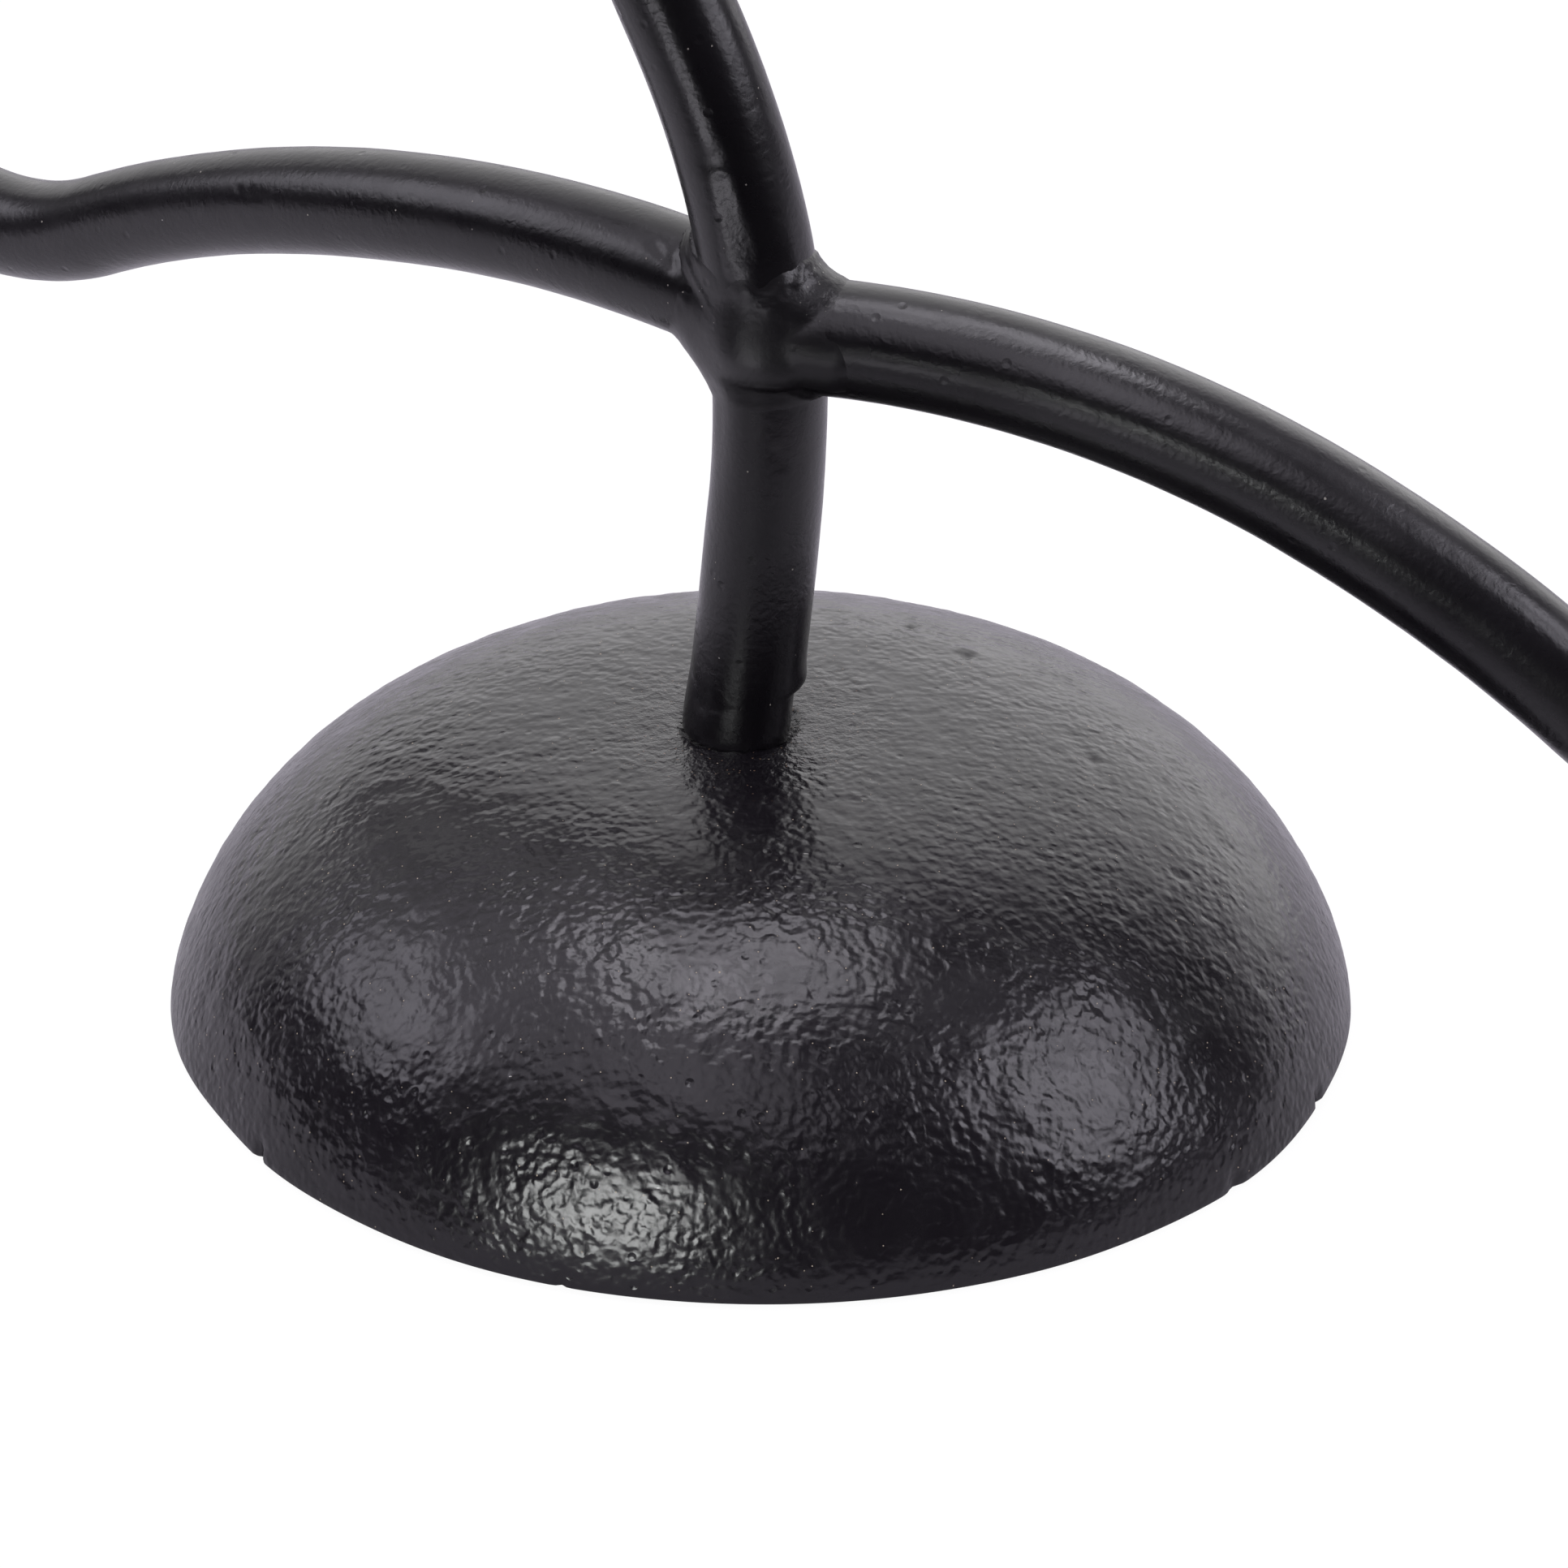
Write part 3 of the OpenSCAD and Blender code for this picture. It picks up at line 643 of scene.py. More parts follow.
# Each run is a straight length, the radius of the bend after it and its angle. The last bend ends upright.
stem = {"turn": 157.5, "slope": 96.0,
        "runs": [(37, 123, -26), (0, 150, -5), (14, 210, 50), (20, 200, None), (70, 0, 0)]}
rightArm = {"turn": -18.0, "slope": 4.9, "joint": 61.0,
            "runs": [(0, 149, -30), (0, 205, -13), (12, 58, 112), (26, 190, 35), (0, 170, None), (22, 0, 0)]}
leftArm = {"turn": 142.0, "slope": 5.8, "joint": 64.5,
           "runs": [(0, 239, -31), (0, 52, 96), (12, 230, 38), (0, 200, None), (34, 0, 0)]}


def planarPath(start, slope, runs):
    # places along the bar in its upright plane, and the middle of each bend
    points, middles = [np.array(start, float)], []
    for length, radius, angle in runs:
        angle = 90 - slope if angle is None else angle
        steps = max(1, round(length / barShape["step"]))
        ahead = heading(slope)
        corner = points[-1]
        points += [corner + ahead * length * (i + 1) / steps for i in range(steps) if length > 0]
        if angle:
            side = math.copysign(1, angle)
            middle = points[-1] + side * radius * np.array([-ahead[1], ahead[0]])
            steps = max(2, round(radius * math.radians(abs(angle)) / barShape["step"]))
            for i in range(1, steps + 1):
                a = math.radians(slope + angle * i / steps)
                points.append(middle + side * radius * np.array([math.sin(a), -math.cos(a)]))
            middles.append((middle, radius))
            slope += angle
    return np.array(points), middles


def inSpace(bar, flat):
    x, y = heading(bar["turn"])
    flat = np.asarray(flat)
    return np.stack([bar["origin"][0] + flat[..., 0] * x, bar["origin"][1] + flat[..., 0] * y,
                     flat[..., 1]], -1)


def layOut(bar, origin, height):
    bar["origin"] = origin
    flat, middles = planarPath((0, height), bar["slope"], bar["runs"])
    bar["path"] = inSpace(bar, flat)
    bar["bends"] = [(inSpace(bar, m), radius) for m, radius in middles]
    bar["along"] = np.concatenate([[0], np.cumsum(np.linalg.norm(np.diff(bar["path"], axis=0), axis=1))])
    x, y = heading(bar["turn"])
    bar["ahead"], bar["axis"] = np.array([x, y, 0.0]), np.array([-y, x, 0.0])


layOut(stem, foot["stemAt"], seatHeight)
for arm in (rightArm, leftArm):
    joint = footTop + arm["joint"]
    k = int(np.argmin(np.abs(stem["path"][:, 2] - joint)))
    layOut(arm, tuple(stem["path"][k][:2]), joint)


def makeBar(name, bar, marks):
    piece = newLine(name, bar["path"])
    runTree(piece, sweepTree, dict(workValues(barWork, barMaterial), Radius=barShape["radius"] * mm,
                                   Sides=barShape["sides"]))
    workBar(piece, bar, marks)
    return piece


def workBar(piece, bar, marks):
    p = pointsOf(piece)
    ring = np.minimum(np.arange(len(p)) // barShape["sides"], len(bar["path"]) - 1)
    middle = bar["path"][ring]
    ahead = unit(np.gradient(bar["path"], axis=0))[ring]
    view = unit(viewPoint - middle)
    front = unit(view - (view * ahead).sum(1)[:, None] * ahead)
    side = np.cross(ahead, front)
    out = p - middle
    far = np.linalg.norm(out, axis=1)
    turn = np.degrees(np.arctan2((out * side).sum(1), (out * front).sum(1)))
    s = bar["along"][ring]
    new = far.copy()
    for kind, *values in marks:
        new = kind(s, turn, new, *values)
    movePoints(piece, middle + out * (new / np.maximum(far, tiny))[:, None])


# A mark is its kind and the kind's own values. Places are lengths along the bar, and turns are angles
# round it from the side that faces the camera. These are shared: a flat's half width in radians and its
# least depth, the length over which ripples fade in, how they wander, and the half length of a step.
markEnds = {"flatReach": 1.2, "flatLeast": 0.01, "rippleFade": 3.0, "wander": 1.1, "wanderRate": 1.3,
            "rippleTwist": 0.05, "stepHalf": 0.5}


def dent(s, a, r, place, long, turn, wide, depth):
    return r - depth * hump(s, place, long) * hump(fromAngle(a, turn), 0, wide)


def groundFlat(s, a, r, start, end, turn, drift, depth, runIn, runOut):
    # a flat ground along the bar, with a crisp edge
    reach = markEnds["flatReach"]
    off = np.radians(fromAngle(a, turn + drift * (s - start)))
    cut = depth * smooth(s, start, start + runIn) * (1 - smooth(s, end - runOut, end))
    flat = (barShape["radius"] - cut) / np.cos(np.clip(off, -reach, reach))
    return np.where((np.abs(off) < reach) & (cut > markEnds["flatLeast"]), np.minimum(r, flat), r)


def ripples(s, a, r, start, end, turn, wide, pitch, height):
    fade = markEnds["rippleFade"]
    window = smooth(s, start, start + fade) * (1 - smooth(s, end - fade, end))
    window = window * hump(fromAngle(a, turn), 0, wide)
    wander = markEnds["wander"] * np.sin(s * markEnds["wanderRate"]) + a * markEnds["rippleTwist"]
    return r + height * window * np.sin(2 * math.pi * s / pitch + wander)


def groove(s, a, r, start, end, width, depth):
    scale = np.array([1, barShape["radius"] * math.pi / 180])
    places = np.stack([s - start[0], fromAngle(a, start[1])], -1) * scale
    away = toSegment(places, (0, 0), np.subtract(end, start) * scale)
    return r - depth * np.exp(-(away / width) ** 2)


def stepIn(s, a, r, end, turn, wide, depth):
    # narrower on one side, up to a sharp step
    half = markEnds["stepHalf"]
    return r - depth * (1 - smooth(s, end - half, end + half)) * hump(fromAngle(a, turn), 0, wide)


# dent: place, half length, turn, half width, depth. groundFlat: start, end, turn, turn per millimetre,
# depth, run in, run out. ripples: start, end, turn, half width, pitch, height. groove: place and turn of
# its start and of its end, width, depth. stepIn: end, turn, half width, depth.
stemMarks = [
    (dent, 112.0, 34.0, -90.0, 80.0, 0.7), (dent, 45.0, 10.0, 90.0, 70.0, 0.3),
    (groundFlat, 72.5, 89.0, -10.0, -0.65, 0.34, 4.0, 2.5), (dent, 89.5, 1.6, -16.0, 18.0, 0.16),
    (ripples, 76.0, 97.0, 31.0, 12.0, 1.3, 0.036), (ripples, 9.0, 24.0, 4.0, 16.0, 1.3, 0.022),
    (stepIn, 8.6, 95.0, 38.0, 1.25), (dent, 10.2, 1.5, 80.0, 16.0, -0.35),
    (dent, 2.0, 6.0, -90.0, 40.0, -0.45), (dent, 6.5, 1.8, -46.0, 14.0, 0.25),
    (groove, (6.6, -32.0), (7.0, -14.0), 0.4, 0.12), (groove, (11.0, -84.0), (8.6, -60.0), 0.4, 0.16),
    (groove, (48.0, 6.0), (45.6, 13.0), 0.5, 0.16), (dent, 51.0, 9.0, -62.0, 16.0, 0.3),
]
rightMarks = [
    (groove, (24.0, -50.0), (25.5, -28.0), 0.3, 0.06), (ripples, 52.0, 80.0, -20.0, 22.0, 1.3, 0.012),
]
leftMarks = [
    (dent, 122.0, 46.0, -90.0, 80.0, 1.0), (dent, 40.0, 22.0, -90.0, 70.0, 0.3),
    (groove, (15.5, 20.0), (11.0, 5.0), 0.6, 0.24), (groove, (11.0, 5.0), (12.0, 22.0), 0.6, 0.2),
    (dent, 88.0, 0.8, 10.0, 5.0, 0.18), (dent, 90.5, 0.7, 14.0, 4.0, 0.16),
    (dent, 86.0, 0.7, 8.0, 4.0, 0.14),
]
stemBar = makeBar("bentStem", stem, stemMarks)
rightBar = makeBar("bentRightArm", rightArm, rightMarks)
leftBar = makeBar("bentLeftArm", leftArm, leftMarks)
print("bars: made,", [len(b.data.polygons) for b in (stemBar, rightBar, leftBar)])


knot = {
    "cell": 0.42, "reach": 20.0, "aboveJoint": 2.0, "tuck": 0.5, "proud": 0.10, "under": 0.04,
    "blendShown": 0.3,
    # how far from the middle the weld covers the bars, and where it has gone under them
    "middle": (0.0, -3.0, 104.5), "flattened": 1.3, "covers": 8.0, "meets": 14.0, "ends": 18.0,
    "hugs": (7.0, 12.0), "hugFades": (0.3, 1.6),
    # how widely the weld rounds each corner; above and below an arm's middle the width changes over
    # these shares of the radius
    "sideBlend": 1.0, "underRight": 0.8, "topRight": 5.4, "underLeft": 2.5, "topLeft": 4.0,
    "overFades": (0.2, 1.0), "underFades": (0.2, 0.9), "blendFades": (-4.0, 6.0), "leastBlend": 0.3,
    "web": {"depth": 4.6, "blend": 1.6, "drop": 4.0, "fades": (-0.9, 0.7)},
    # a lip of weld in front of the stem, with a sharp lower edge
    "lip": {"height": 0.6, "edge": (98.9, 99.4), "fades": (100.0, 109.0), "starts": (-4.0, 6.0),
            "ends": (9.0, 15.0), "front": (2.0, 9.0)},
    "uneven": {"height": 0.06, "size": 3.2, "seed": 5.0},
    # how points are brought onto the exact surface, except near the edge, and the least part of a lump
    "rounds": 2, "longestStep": 0.3, "leastSlope": 0.3, "nearEdge": 0.6, "leastLump": 0.02,
    # lumps of weld: from, to, how far they reach, how high, size of one lump
    "lumps": [((4.0, -8.6, 113.2), (6.4, -6.6, 114.8), 1.4, 0.22, 1.3),
              ((6.4, -6.6, 114.8), (13.5, -4.6, 112.6), 1.3, 0.2, 1.3),
              ((-1.0, -9.4, 112.4), (3.0, -9.8, 111.0), 1.3, 0.16, 1.1),
              ((-9.4, -2.4, 112.9), (-10.6, -1.6, 108.0), 1.8, 0.14, 1.8)],
    # the lumps' noise: its middle, strength, highest value and seed
    "lumpNoise": (0.35, 1.6, 1.3, 3.0),
    # one smooth bead: where, how far it reaches, how high
    "beads": [((-1.8, -9.1, 112.4), 1.5, 0.25)],
}
knotMiddle = rightArm["path"][0] + np.array([0, 0, knot["aboveJoint"]])


def toBend(points, bend, axis):
    # distance from a bent bar's surface
    middle, radius = bend
    v = points - middle
    off = v @ axis
    inPlane = v - off[..., None] * axis
    return np.hypot(np.linalg.norm(inPlane, axis=-1) - radius, off) - barShape["radius"]


def blendMin(a, b, k):
    h = np.clip(0.5 + 0.5 * (b - a) / k, 0, 1)
    return b * (1 - h) + a * h - k * h * (1 - h)


def knotShape(points):
    # the bars as they are, and blended by the weld
    post = toBend(points, stem["bends"][0], stem["axis"])
    side = knot["sideBlend"]
    plain, blended = post, post
    for arm, under, over in ((rightArm, knot["underRight"], knot["topRight"]),
                             (leftArm, knot["underLeft"], knot["topLeft"])):
        start = arm["path"][0]
        past = -(points - start) @ arm["ahead"]
        ball = np.linalg.norm(points - start, axis=-1) - barShape["radius"]
        surface = np.where(past > 0, ball, toBend(points, arm["bends"][0], arm["axis"]))
        level = (points - start)[..., 2] / barShape["radius"]
        k = np.where(level > 0, side + (over - side) * smooth(level, *knot["overFades"]),
                     side + (under - side) * smooth(-level, *knot["underFades"]))
        k = np.maximum(k * (1 - smooth(past, *knot["blendFades"])), knot["leastBlend"])
        plain = np.minimum(plain, surface)
        blended = blendMin(blended, surface, k)
    # the web below the left arm, the last one, runs straight across the corner
    web = knot["web"]
    across = (post + surface - web["depth"]) * math.sqrt(0.5) + web["drop"] * smooth(level, *web["fades"])
    return plain, blendMin(blended, across, web["blend"])


def skinDepth(points):
    # how far the weld's skin lies under the bars, where it isn't blended
    away = np.linalg.norm((points - np.array(knot["middle"])) * np.array([1, 1, knot["flattened"]]), axis=-1)
    under = -knot["proud"] + (knot["proud"] + knot["under"]) * smooth(away, knot["covers"], knot["meets"])
    return under + knot["tuck"] * smooth(away, knot["meets"], knot["ends"]), away


def knotField(points):
    plain, blended = knotShape(points)
    shown = np.clip((plain - blended) / knot["blendShown"], 0, 1)
    under, _ = skinDepth(points)
    lip = knot["lip"]
    x, y, z = points[..., 0], points[..., 1], points[..., 2]
    swell = lip["height"] * smooth(z, *lip["edge"]) * (1 - smooth(z, *lip["fades"]))
    swell = swell * smooth(-y, *lip["front"]) * smooth(x, *lip["starts"]) * (1 - smooth(x, *lip["ends"]))
    return blended + under * (1 - shown) - knot["proud"] * shown - swell


def slopeOf(points, e=0.05):
    steps = e * np.eye(3)
    return np.stack([knotField(points + step) - knotField(points - step) for step in steps], 1) / (2 * e)


def lumpy(points):
    # first onto the exact surface, then the lumps of weld
    longest = knot["longestStep"]
    for _ in range(knot["rounds"]):
        slope = slopeOf(points)
        steepness = np.maximum((slope ** 2).sum(1), knot["leastSlope"])
        step = np.clip(knotField(points) / steepness, -longest, longest)
        inside = np.linalg.norm(points - knotMiddle, axis=1) < knot["reach"] - knot["nearEdge"]
        points = points - slope * step[:, None] * inside[:, None]
    uneven = knot["uneven"]
    lift = uneven["height"] * noiseAt(points, uneven["size"], uneven["seed"])
    middle, strength, highest, seed = knot["lumpNoise"]
    for start, end, reach, height, size in knot["lumps"]:
        near = hump(toSegment(points, start, end), 0, reach)
        picked = near > knot["leastLump"]
        lumps = np.clip(middle + strength * noiseAt(points[picked], size, seed), 0, highest)
        lift[picked] += height * near[picked] * lumps
    for place, reach, height in knot["beads"]:
        lift += height * hump(np.linalg.norm(points - np.array(place), axis=1), 0, reach)
    return points + unit(slopeOf(points)) * lift[:, None]


def netSurface(field, corner, cell):
    # one point in each cell that the surface crosses, and a face round each crossed edge
    size = np.array(field.shape) - 1
    total = np.zeros((*size, 3))
    count = np.zeros(size)
    faces = []
    for axis in range(3):
        others = [i for i in range(3) if i != axis]
        for da, db in ((0, 0), (0, 1), (1, 0), (1, 1)):
            low = [slice(0, n) for n in size]
            low[others[0]] = slice(da, size[others[0]] + da)
            low[others[1]] = slice(db, size[others[1]] + db)
            high = list(low)
            high[axis] = slice(1, size[axis] + 1)
            f0, f1 = field[tuple(low)], field[tuple(high)]
            cut = (f0 < 0) != (f1 < 0)
            total[..., others[0]] += cut * da
            total[..., others[1]] += cut * db
            total[..., axis] += np.where(cut, f0 / np.where(cut, f0 - f1, 1), 0)
            count += cut
    used = count > 0
    number = np.full(size, -1)
    number[used] = np.arange(used.sum())
    points = (np.argwhere(used) + total[used] / count[used][:, None]) * cell + corner
    for axis in range(3):
        u, v = (axis + 1) % 3, (axis + 2) % 3
        low, high = [slice(1, n) for n in size], [slice(1, n) for n in size]
        low[axis], high[axis] = slice(0, size[axis]), slice(1, size[axis] + 1)
        f0, f1 = field[tuple(low)], field[tuple(high)]
        for inward in (True, False):
            crossed = np.argwhere((f0 < 0) & (f1 >= 0) if inward else (f0 >= 0) & (f1 < 0))
            crossed[:, (u, v)] += 1
            ring = []
            for du, dv in ((0, 0), (1, 0), (1, 1), (0, 1)):
                c = crossed.copy()
                c[:, u] -= du
                c[:, v] -= dv
                ring.append(number[tuple(c.T)])
            quad = np.stack(ring, 1)
            faces.append(quad if inward else quad[:, ::-1])
    return points, np.concatenate(faces)


def hugBars(points, bars):
    # away from the joint the weld's skin rises and falls with the marks in the bars
    plain, blended = knotShape(points)
    free = smooth(skinDepth(points)[1], *knot["hugs"]) * (1 - smooth(plain - blended, *knot["hugFades"]))
    outward = unit(slopeOf(points))
    depsgraph = bpy.context.evaluated_depsgraph_get()
    trees = [BVHTree.FromObject(bar, depsgraph) for bar in bars]
    for i in np.nonzero(free > 0)[0]:
        nearest = min((tree.find_nearest(Vector(points[i]) * mm) for tree in trees), key=lambda hit: hit[3])
        above = (points[i] - np.array(nearest[0]) / mm) @ outward[i]
        points[i] += free[i] * (plain[i] - above) * outward[i]
    return points


def makeKnot():
    reach, cell = knot["reach"], knot["cell"]
    line = np.arange(-reach - 2 * cell, reach + 3 * cell, cell)
    grid = np.stack(np.meshgrid(line, line, line, indexing="ij"), -1) + knotMiddle
    ball = np.linalg.norm(grid - knotMiddle, axis=-1) - reach
    points, faces = netSurface(np.maximum(knotField(grid), ball), grid[0, 0, 0], cell)
    points = hugBars(lumpy(points), (stemBar, rightBar, leftBar))
    piece = newMesh("weldedKnot", points, faces.tolist())
    piece.data.materials.append(weldMaterial)
    piece.data.shade_smooth()
    faceOutward(piece)
    return piece


knotPiece = makeKnot()
print("knot: made,", len(knotPiece.data.polygons), "faces")


# counts are numbers of points along a part of the profile
pan = {"radius": 31.0, "thickness": 1.6, "height": 5.0, "lip": 1.2, "hole": 2.8, "segments": 160,
       "inset": 0.5, "lipEnds": (-30, 210), "counts": {"curl": 9, "lip": 14}}
cup = {"bore": 11.4, "wall": 2.0, "depth": 24.0, "floor": 4.5, "flare": 3.0, "lip": 1.0, "hole": 2.8,
       "sink": (5.15, 2.35), "segments": 128, "flareRise": 1.6, "sideGap": 1.0, "lipEnds": (-40, 90),
       # the rounding of the mouth's inner edge, and the corner between bore and floor
       "mouthEdge": [(0.4, 0.0), (0.1, 0.2)], "boreDown": 0.6, "corner": 0.3,
       "counts": {"swell": 12, "side": 8, "mouth": 10, "lip": 8, "bore": 12}}
panWork = {"lumpHeight": 0.35, "lumpSize": 8.0, "grainHeight": 0.03, "grainSize": 2.5, "seed": 2.0}
cupWork = {"lumpHeight": 0.12, "lumpSize": 7.0, "grainHeight": 0.03, "grainSize": 2.5, "seed": 6.0}


def arc(middle, radius, start, end, count):
    return [tuple(middle + radius * heading(a)) for a in np.linspace(start, end, count)]


def floorLine(start, end, height, count=18):
    return [(r, height) for r in np.linspace(start, end, count)]


def panProfile():
    curl = (pan["radius"] - pan["height"], pan["height"])
    flatEnd, counts = curl[0] - pan["inset"], pan["counts"]
    under = arc(curl, pan["height"], -90, 0, counts["curl"])
    lipMiddle = (pan["radius"] - pan["thickness"] / 2, pan["height"])
    bead = arc(lipMiddle, pan["lip"], *pan["lipEnds"], counts["lip"])
    over = arc(curl, pan["height"] - pan["thickness"], 0, -90, counts["curl"])
    return (floorLine(pan["hole"], flatEnd, 0.0) + under + bead + over
            + floorLine(flatEnd, pan["hole"], pan["thickness"]) + [(pan["hole"], 0.0)])


def cupProfile():
    outer, top = cup["bore"] + cup["wall"], cup["floor"] + cup["depth"]
    neck, edge, counts = barShape["radius"], cup["lip"], cup["counts"]
    flareHeight = cup["flareRise"] * cup["flare"]
    swell = [(neck + (outer - neck) * math.sin(a), cup["floor"] - (cup["floor"] - edge) * math.cos(a))
             for a in np.linspace(0, math.pi / 2, counts["swell"])]
    sideEnds = (cup["floor"] + cup["sideGap"], top - flareHeight - cup["sideGap"])
    side = [(outer, z) for z in np.linspace(*sideEnds, counts["side"])]
    mouth = [(outer + cup["flare"] * (1 - math.cos(a)),
              top - flareHeight + (flareHeight - edge) * math.sin(a))
             for a in np.linspace(0, math.pi / 2, counts["mouth"])]
    lip = arc((outer + cup["flare"] - edge / 2, top - edge / 2), edge / 2, *cup["lipEnds"], counts["lip"])
    inside = [(cup["bore"] + out, top - down) for out, down in cup["mouthEdge"]]
    boreEnds = (top - cup["boreDown"], cup["floor"] + cup["corner"])
    inside += [(cup["bore"], z) for z in np.linspace(*boreEnds, counts["bore"])]
    inside += [(cup["bore"] - cup["corner"], cup["floor"]), (cup["sink"][0], cup["floor"])]
    inside += [(cup["hole"], cup["floor"] - cup["sink"][1]), (cup["hole"], 0.0)]
    return [(cup["hole"], 0.0), (neck, 0.0)] + swell + side + mouth + lip + inside


def makeLights():
    pieces = {}
    for name, bar in (("stem", stem), ("right", rightArm), ("left", leftArm)):
        end = bar["path"][-1]
        above = end + np.array([0, 0, pan["thickness"]])
        for part, profile, shape, work, place in (("Pan", panProfile(), pan, panWork, end),
                                                  ("Cup", cupProfile(), cup, cupWork, above)):
            pieces[name + part] = turnedPiece(name + part, profile, shape["segments"], work, barMaterial,
                                              place)
    return pieces


candlePieces = makeLights()
print("pans and cups: made")


standsFor = [
    (dome, "cast_black", ["foot_dome"]), (stemBar, "bar_black", ["stem"]),
    (rightBar, "bar_black", ["right_arm"]), (leftBar, "bar_black", ["left_arm"]),
    (knotPiece, "bar_black", ["right_weld", "left_weld"]),
] + [(candlePieces[name + part], "bar_black", [name + "_" + part.lower()])
     for name in ("stem", "right", "left") for part in ("Pan", "Cup")]
for piece, slot, replaced in standsFor:
    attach(piece, "root")
    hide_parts(*replaced)

keptNodes = {"felt_disc": feltMaterial, "foot_bolt": zincMaterial, "spring_washer": zincMaterial,
             "flat_washer": zincMaterial, "cup_screws": zincMaterial}
for name, material in keptNodes.items():
    nodes[name].data.materials.clear()
    nodes[name].data.materials.append(material)
print("nodes: dressed")


softBoxes = [
    # direction from the object, width and height, brightness, colour
    {"towards": (-0.83, 0.10, 0.55), "size": (0.90, 0.62), "bright": 2.3, "colour": (0.93, 0.90, 1.0)},
    {"towards": (0.82, -0.20, 0.53), "size": (0.86, 0.98), "bright": 3.9, "colour": (0.93, 0.90, 1.0)},
    {"towards": (-0.05, 0.13, 0.99), "size": (0.80, 0.80), "bright": 4.6, "colour": (0.95, 0.92, 1.0)},
    {"towards": (-0.46, -0.86, 0.235), "size": (0.62, 0.46), "bright": 12.5, "colour": (0.98, 1.0, 0.99)},
]
lowBox = softBoxes[3]
# wide soft patches of the room: direction, half angle of the patch and of its soft edge, brightness
roomPatches = [
    {"towards": (-0.50, 0.05, 0.87), "inner": 8, "outer": 34, "bright": 1.0},
    {"towards": (-0.20, -0.57, 0.80), "inner": 6, "outer": 27, "bright": 1.4},
    {"towards": (0.60, -0.05, 0.80), "inner": 5, "outer": 26, "bright": 0.5},
]
studio = {
    "lampDistance": 1.5, "aim": (0, 0, 0.06),
    # brightness of the room behind the object and in front of it, where it changes, and how much more
    # there is on the right
    "back": 1.42, "front": 0.05, "changes": (0.25, 0.80), "rightShare": 0.55,
    "floorSize": 12.0, "floorOpening": 0.0008, "floorSides": 96, "floorShade": 0.86, "mirrorShade": 0.66,
    "floorOwnLight": 0.93, "white": 1.03, "darkFloor": 0.03, "darkens": (-0.34, 0.02),
    # a strip of the floor that glows only in reflections, a painted reflection
    "glowStrip": {"from": (-0.17, -0.28), "to": (-0.42, -0.80), "inner": 0.07, "outer": 0.11,
                 "bright": 1.8, "colour": (0.95, 0.92, 1.0)},
    # the room and the floor have this colour in reflections
    "roomColour": (0.94, 0.89, 1.0), "floorColour": (0.975, 0.95, 1.0), "backdropColour": (1.0, 0.985, 1.0),
    # a dark card keeps the low soft box out of the bars, which stand higher than the foot
    "card": {"middle": (-0.078, -0.21, 0.165), "size": (0.20, 0.09), "colour": (0.01, 0.01, 0.01)},
}


def addSoftBox(index, box):
    lamp = bpy.data.lights.new("softBox%d" % index, "AREA")
    lamp.shape = "RECTANGLE"
    lamp.size, lamp.size_y = box["size"]
    lamp.energy = box["bright"] * math.pi * box["size"][0] * box["size"][1]
    lamp.color = box["colour"]
    light = bpy.data.objects.new(lamp.name, lamp)
    towards = Vector(box["towards"]).normalized()
    light.location = Vector(studio["aim"]) + towards * studio["lampDistance"]
    light.rotation_euler = towards.to_track_quat("Z", "Y").to_euler()
    light.visible_camera = False
    scene.collection.objects.link(light)


def makeWorld():
    world = bpy.data.worlds.new("studioRoom")
    scene.world = world
    world.use_nodes = True
    tree = world.node_tree
    background = next(n for n in tree.nodes if n.type == "BACKGROUND")
    towards = shade(tree, "TexCoord")["Generated"]
    parts = partsOf(tree, towards)
    # the white backdrop is behind the object, and the darker room is behind the camera
    room = softRange(tree, parts[1], *studio["changes"], studio["front"], studio["back"])
    room = times(tree, room, mathNode(tree, "ADD", times(tree, parts[0], studio["rightShare"]), 1.0))
    for patch in roomPatches:
        near = vectorNode(tree, "DOT_PRODUCT", towards, Vector(patch["towards"]).normalized())
        edges = [math.cos(math.radians(patch[edge])) for edge in ("outer", "inner")]
        room = mathNode(tree, "ADD", room, softRange(tree, near, *edges, 0.0, patch["bright"]))
    seen = shade(tree, "LightPath")["Is Camera Ray"]
    behind = softRange(tree, parts[1], *studio["changes"])
    colour = mixColour(tree, behind, studio["roomColour"], studio["backdropColour"])
    strength = mathNode(tree, "MAXIMUM", room, times(tree, seen, studio["white"]))
    plug(tree, background, {"Color": mixColour(tree, seen, colour, (1, 1, 1)), "Strength": strength})


def glowStrip(tree, place):
    # below the low lamp a strip of the floor glows, seen only in reflections: a painted reflection of a lit
    # strip
    strip = studio["glowStrip"]
    start, end = Vector((*strip["from"], 0)), Vector((*strip["to"], 0))
    along = (end - start).normalized()
    fromStart = vectorNode(tree, "SUBTRACT", place, start, "Vector")
    forward = vectorNode(tree, "DOT_PRODUCT", fromStart, along)
    sideways = vectorNode(tree, "DOT_PRODUCT", fromStart, Vector((-along.y, along.x, 0)))
    inLength = times(tree, mathNode(tree, "GREATER_THAN", forward, 0.0),
                     mathNode(tree, "LESS_THAN", forward, (end - start).length))
    inWidth = softRange(tree, mathNode(tree, "ABSOLUTE", sideways), strip["outer"], strip["inner"])
    mirrored = shade(tree, "LightPath")["Is Glossy Ray"]
    glow = times(tree, inLength, inWidth, strip["bright"], mirrored)
    return shade(tree, "Emission", {"Color": (*strip["colour"], 1), "Strength": glow})


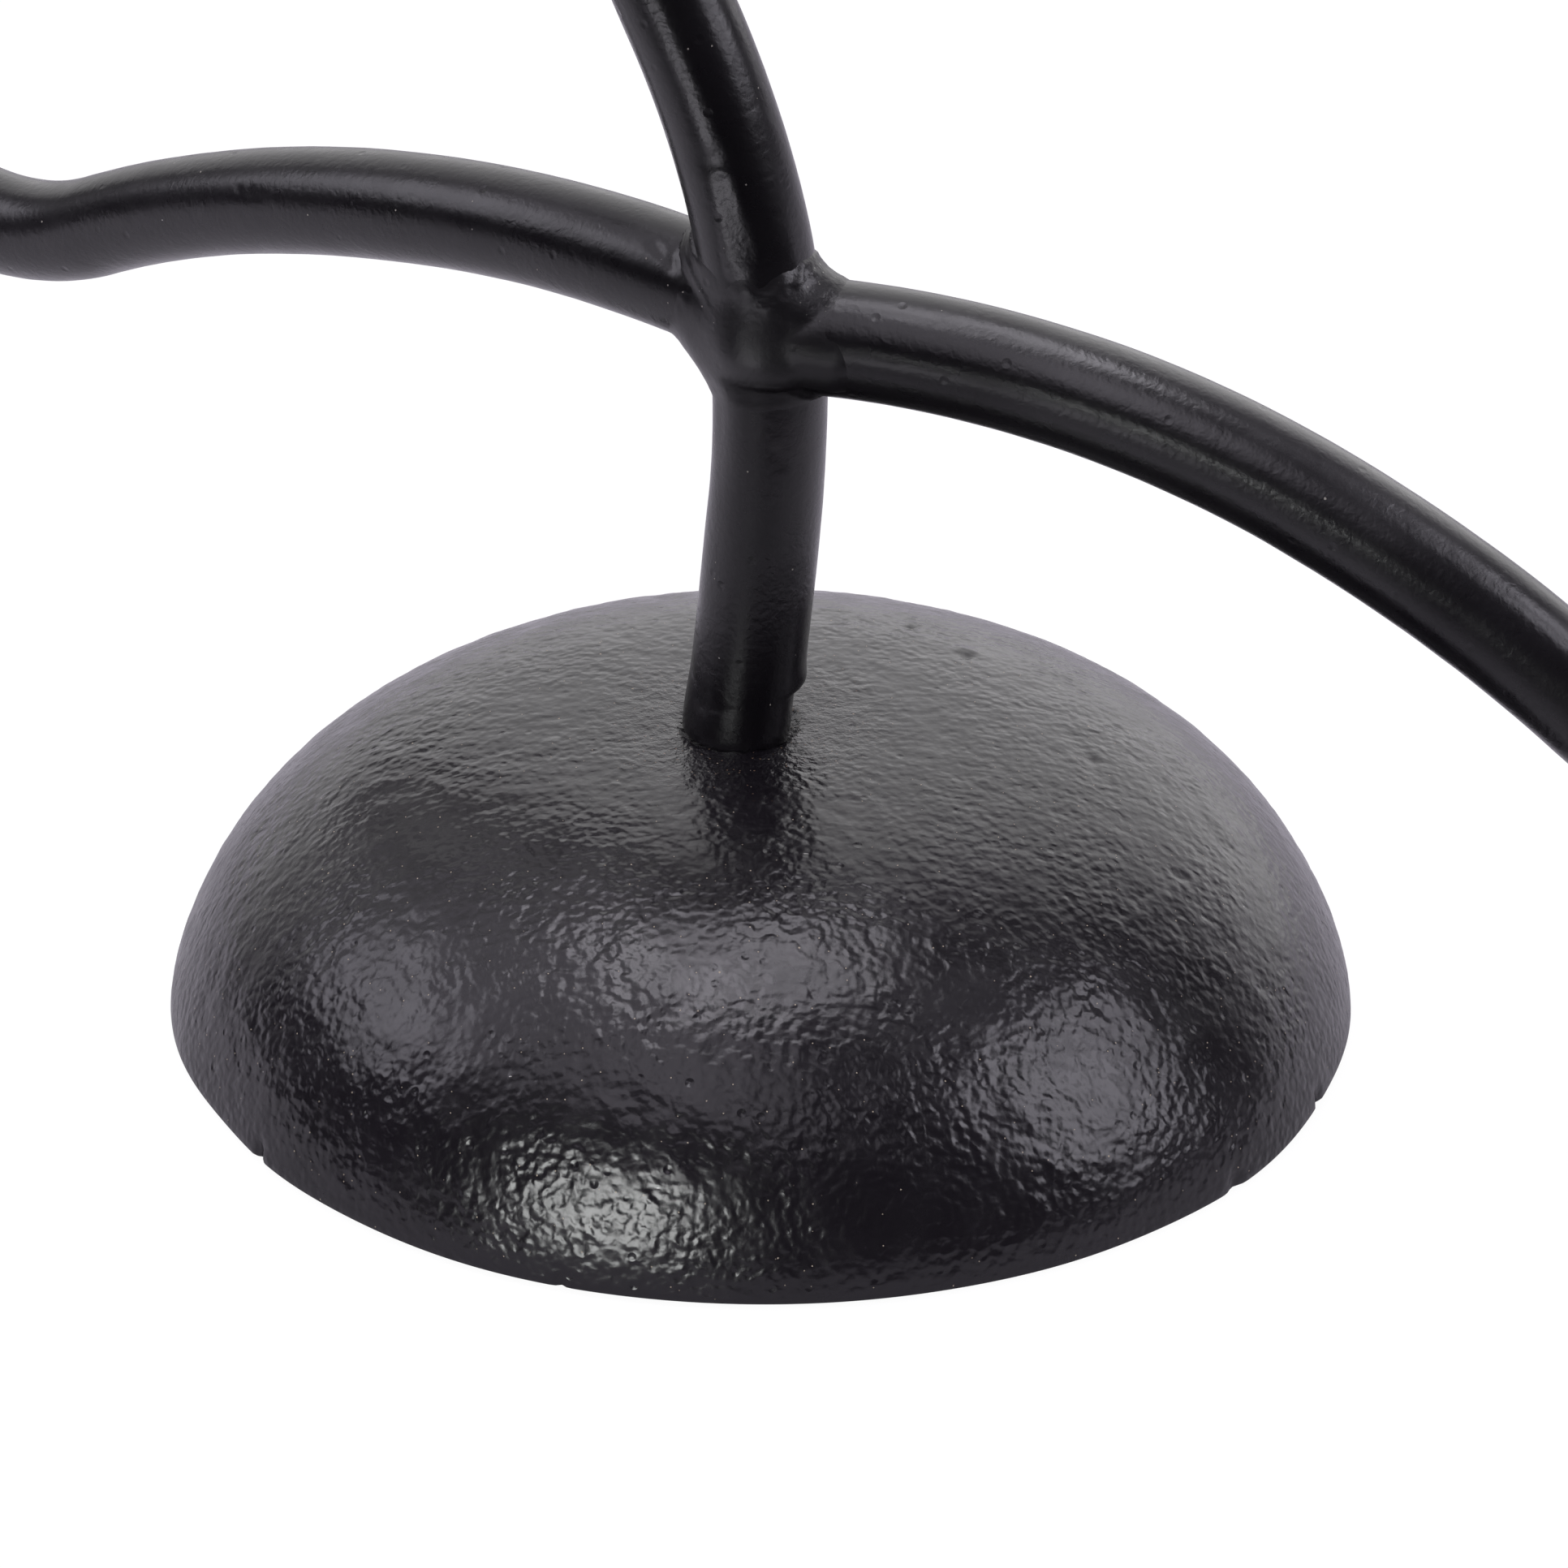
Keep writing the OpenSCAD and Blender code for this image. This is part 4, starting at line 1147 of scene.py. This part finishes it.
def makeFloor():
    # a wide ring, open under the felt so that the foot can be seen from below
    sides = studio["floorSides"]
    radii = (foot["feltRadius"] + studio["floorOpening"] / mm, studio["floorSize"] / 2 / mm)
    points = [p for r in radii for p in ringOf(r, sides)]
    faces = [(k, sides + k, sides + (k + 1) % sides, (k + 1) % sides) for k in range(sides)]
    floor = newMesh("paleFloor", points, faces)
    material, tree, _, _ = newMaterial("paleFloor")
    tree.nodes.clear()
    seen = shade(tree, "LightPath")["Is Camera Ray"]
    # painted shade: except for the camera, the floor is painted darker towards the dark room behind the
    # camera, and the paint mirrors it
    place = shade(tree, "TexCoord")["Object"]
    tone = softRange(tree, partsOf(tree, place)[1], *studio["darkens"], studio["darkFloor"],
                     studio["mirrorShade"])
    tone = mathNode(tree, "MAXIMUM", tone, times(tree, seen, studio["floorShade"]))
    channels = {i: times(tree, tone, part) for i, part in enumerate(studio["floorColour"])}
    colour = shade(tree, "CombineColor", channels)[0]
    plain = shade(tree, "BsdfDiffuse", {"Color": colour})
    glow = shade(tree, "Emission", {"Strength": studio["white"]})
    share = times(tree, seen, studio["floorOwnLight"])
    mix = shade(tree, "MixShader", {0: share, 1: plain[0], 2: glow[0]})
    both = shade(tree, "AddShader", {0: mix[0], 1: glowStrip(tree, place)[0]})
    shade(tree, "OutputMaterial", {0: both[0]})
    floor.data.materials.append(material)


def addCard():
    card, towards = studio["card"], Vector(lowBox["towards"]).normalized()
    across = Vector((-towards.y, towards.x, 0)).normalized() * card["size"][0] / 2
    up = towards.cross(across).normalized() * card["size"][1] / 2
    corners = [Vector(card["middle"]) + a * across + b * up for a, b in ((-1, -1), (1, -1), (1, 1), (-1, 1))]
    piece = newMesh("darkCard", [np.array(c) / mm for c in corners], [(0, 1, 2, 3)])
    material, tree, shader, _ = newMaterial("darkCard")
    plug(tree, shader, {"Base Color": (*card["colour"], 1), "Roughness": 1.0})
    piece.data.materials.append(material)
    piece.visible_camera = False


for index, box in enumerate(softBoxes):
    addSoftBox(index, box)
addCard()
makeWorld()
makeFloor()
scene.view_settings.view_transform = "Standard"
print("studio: lit")
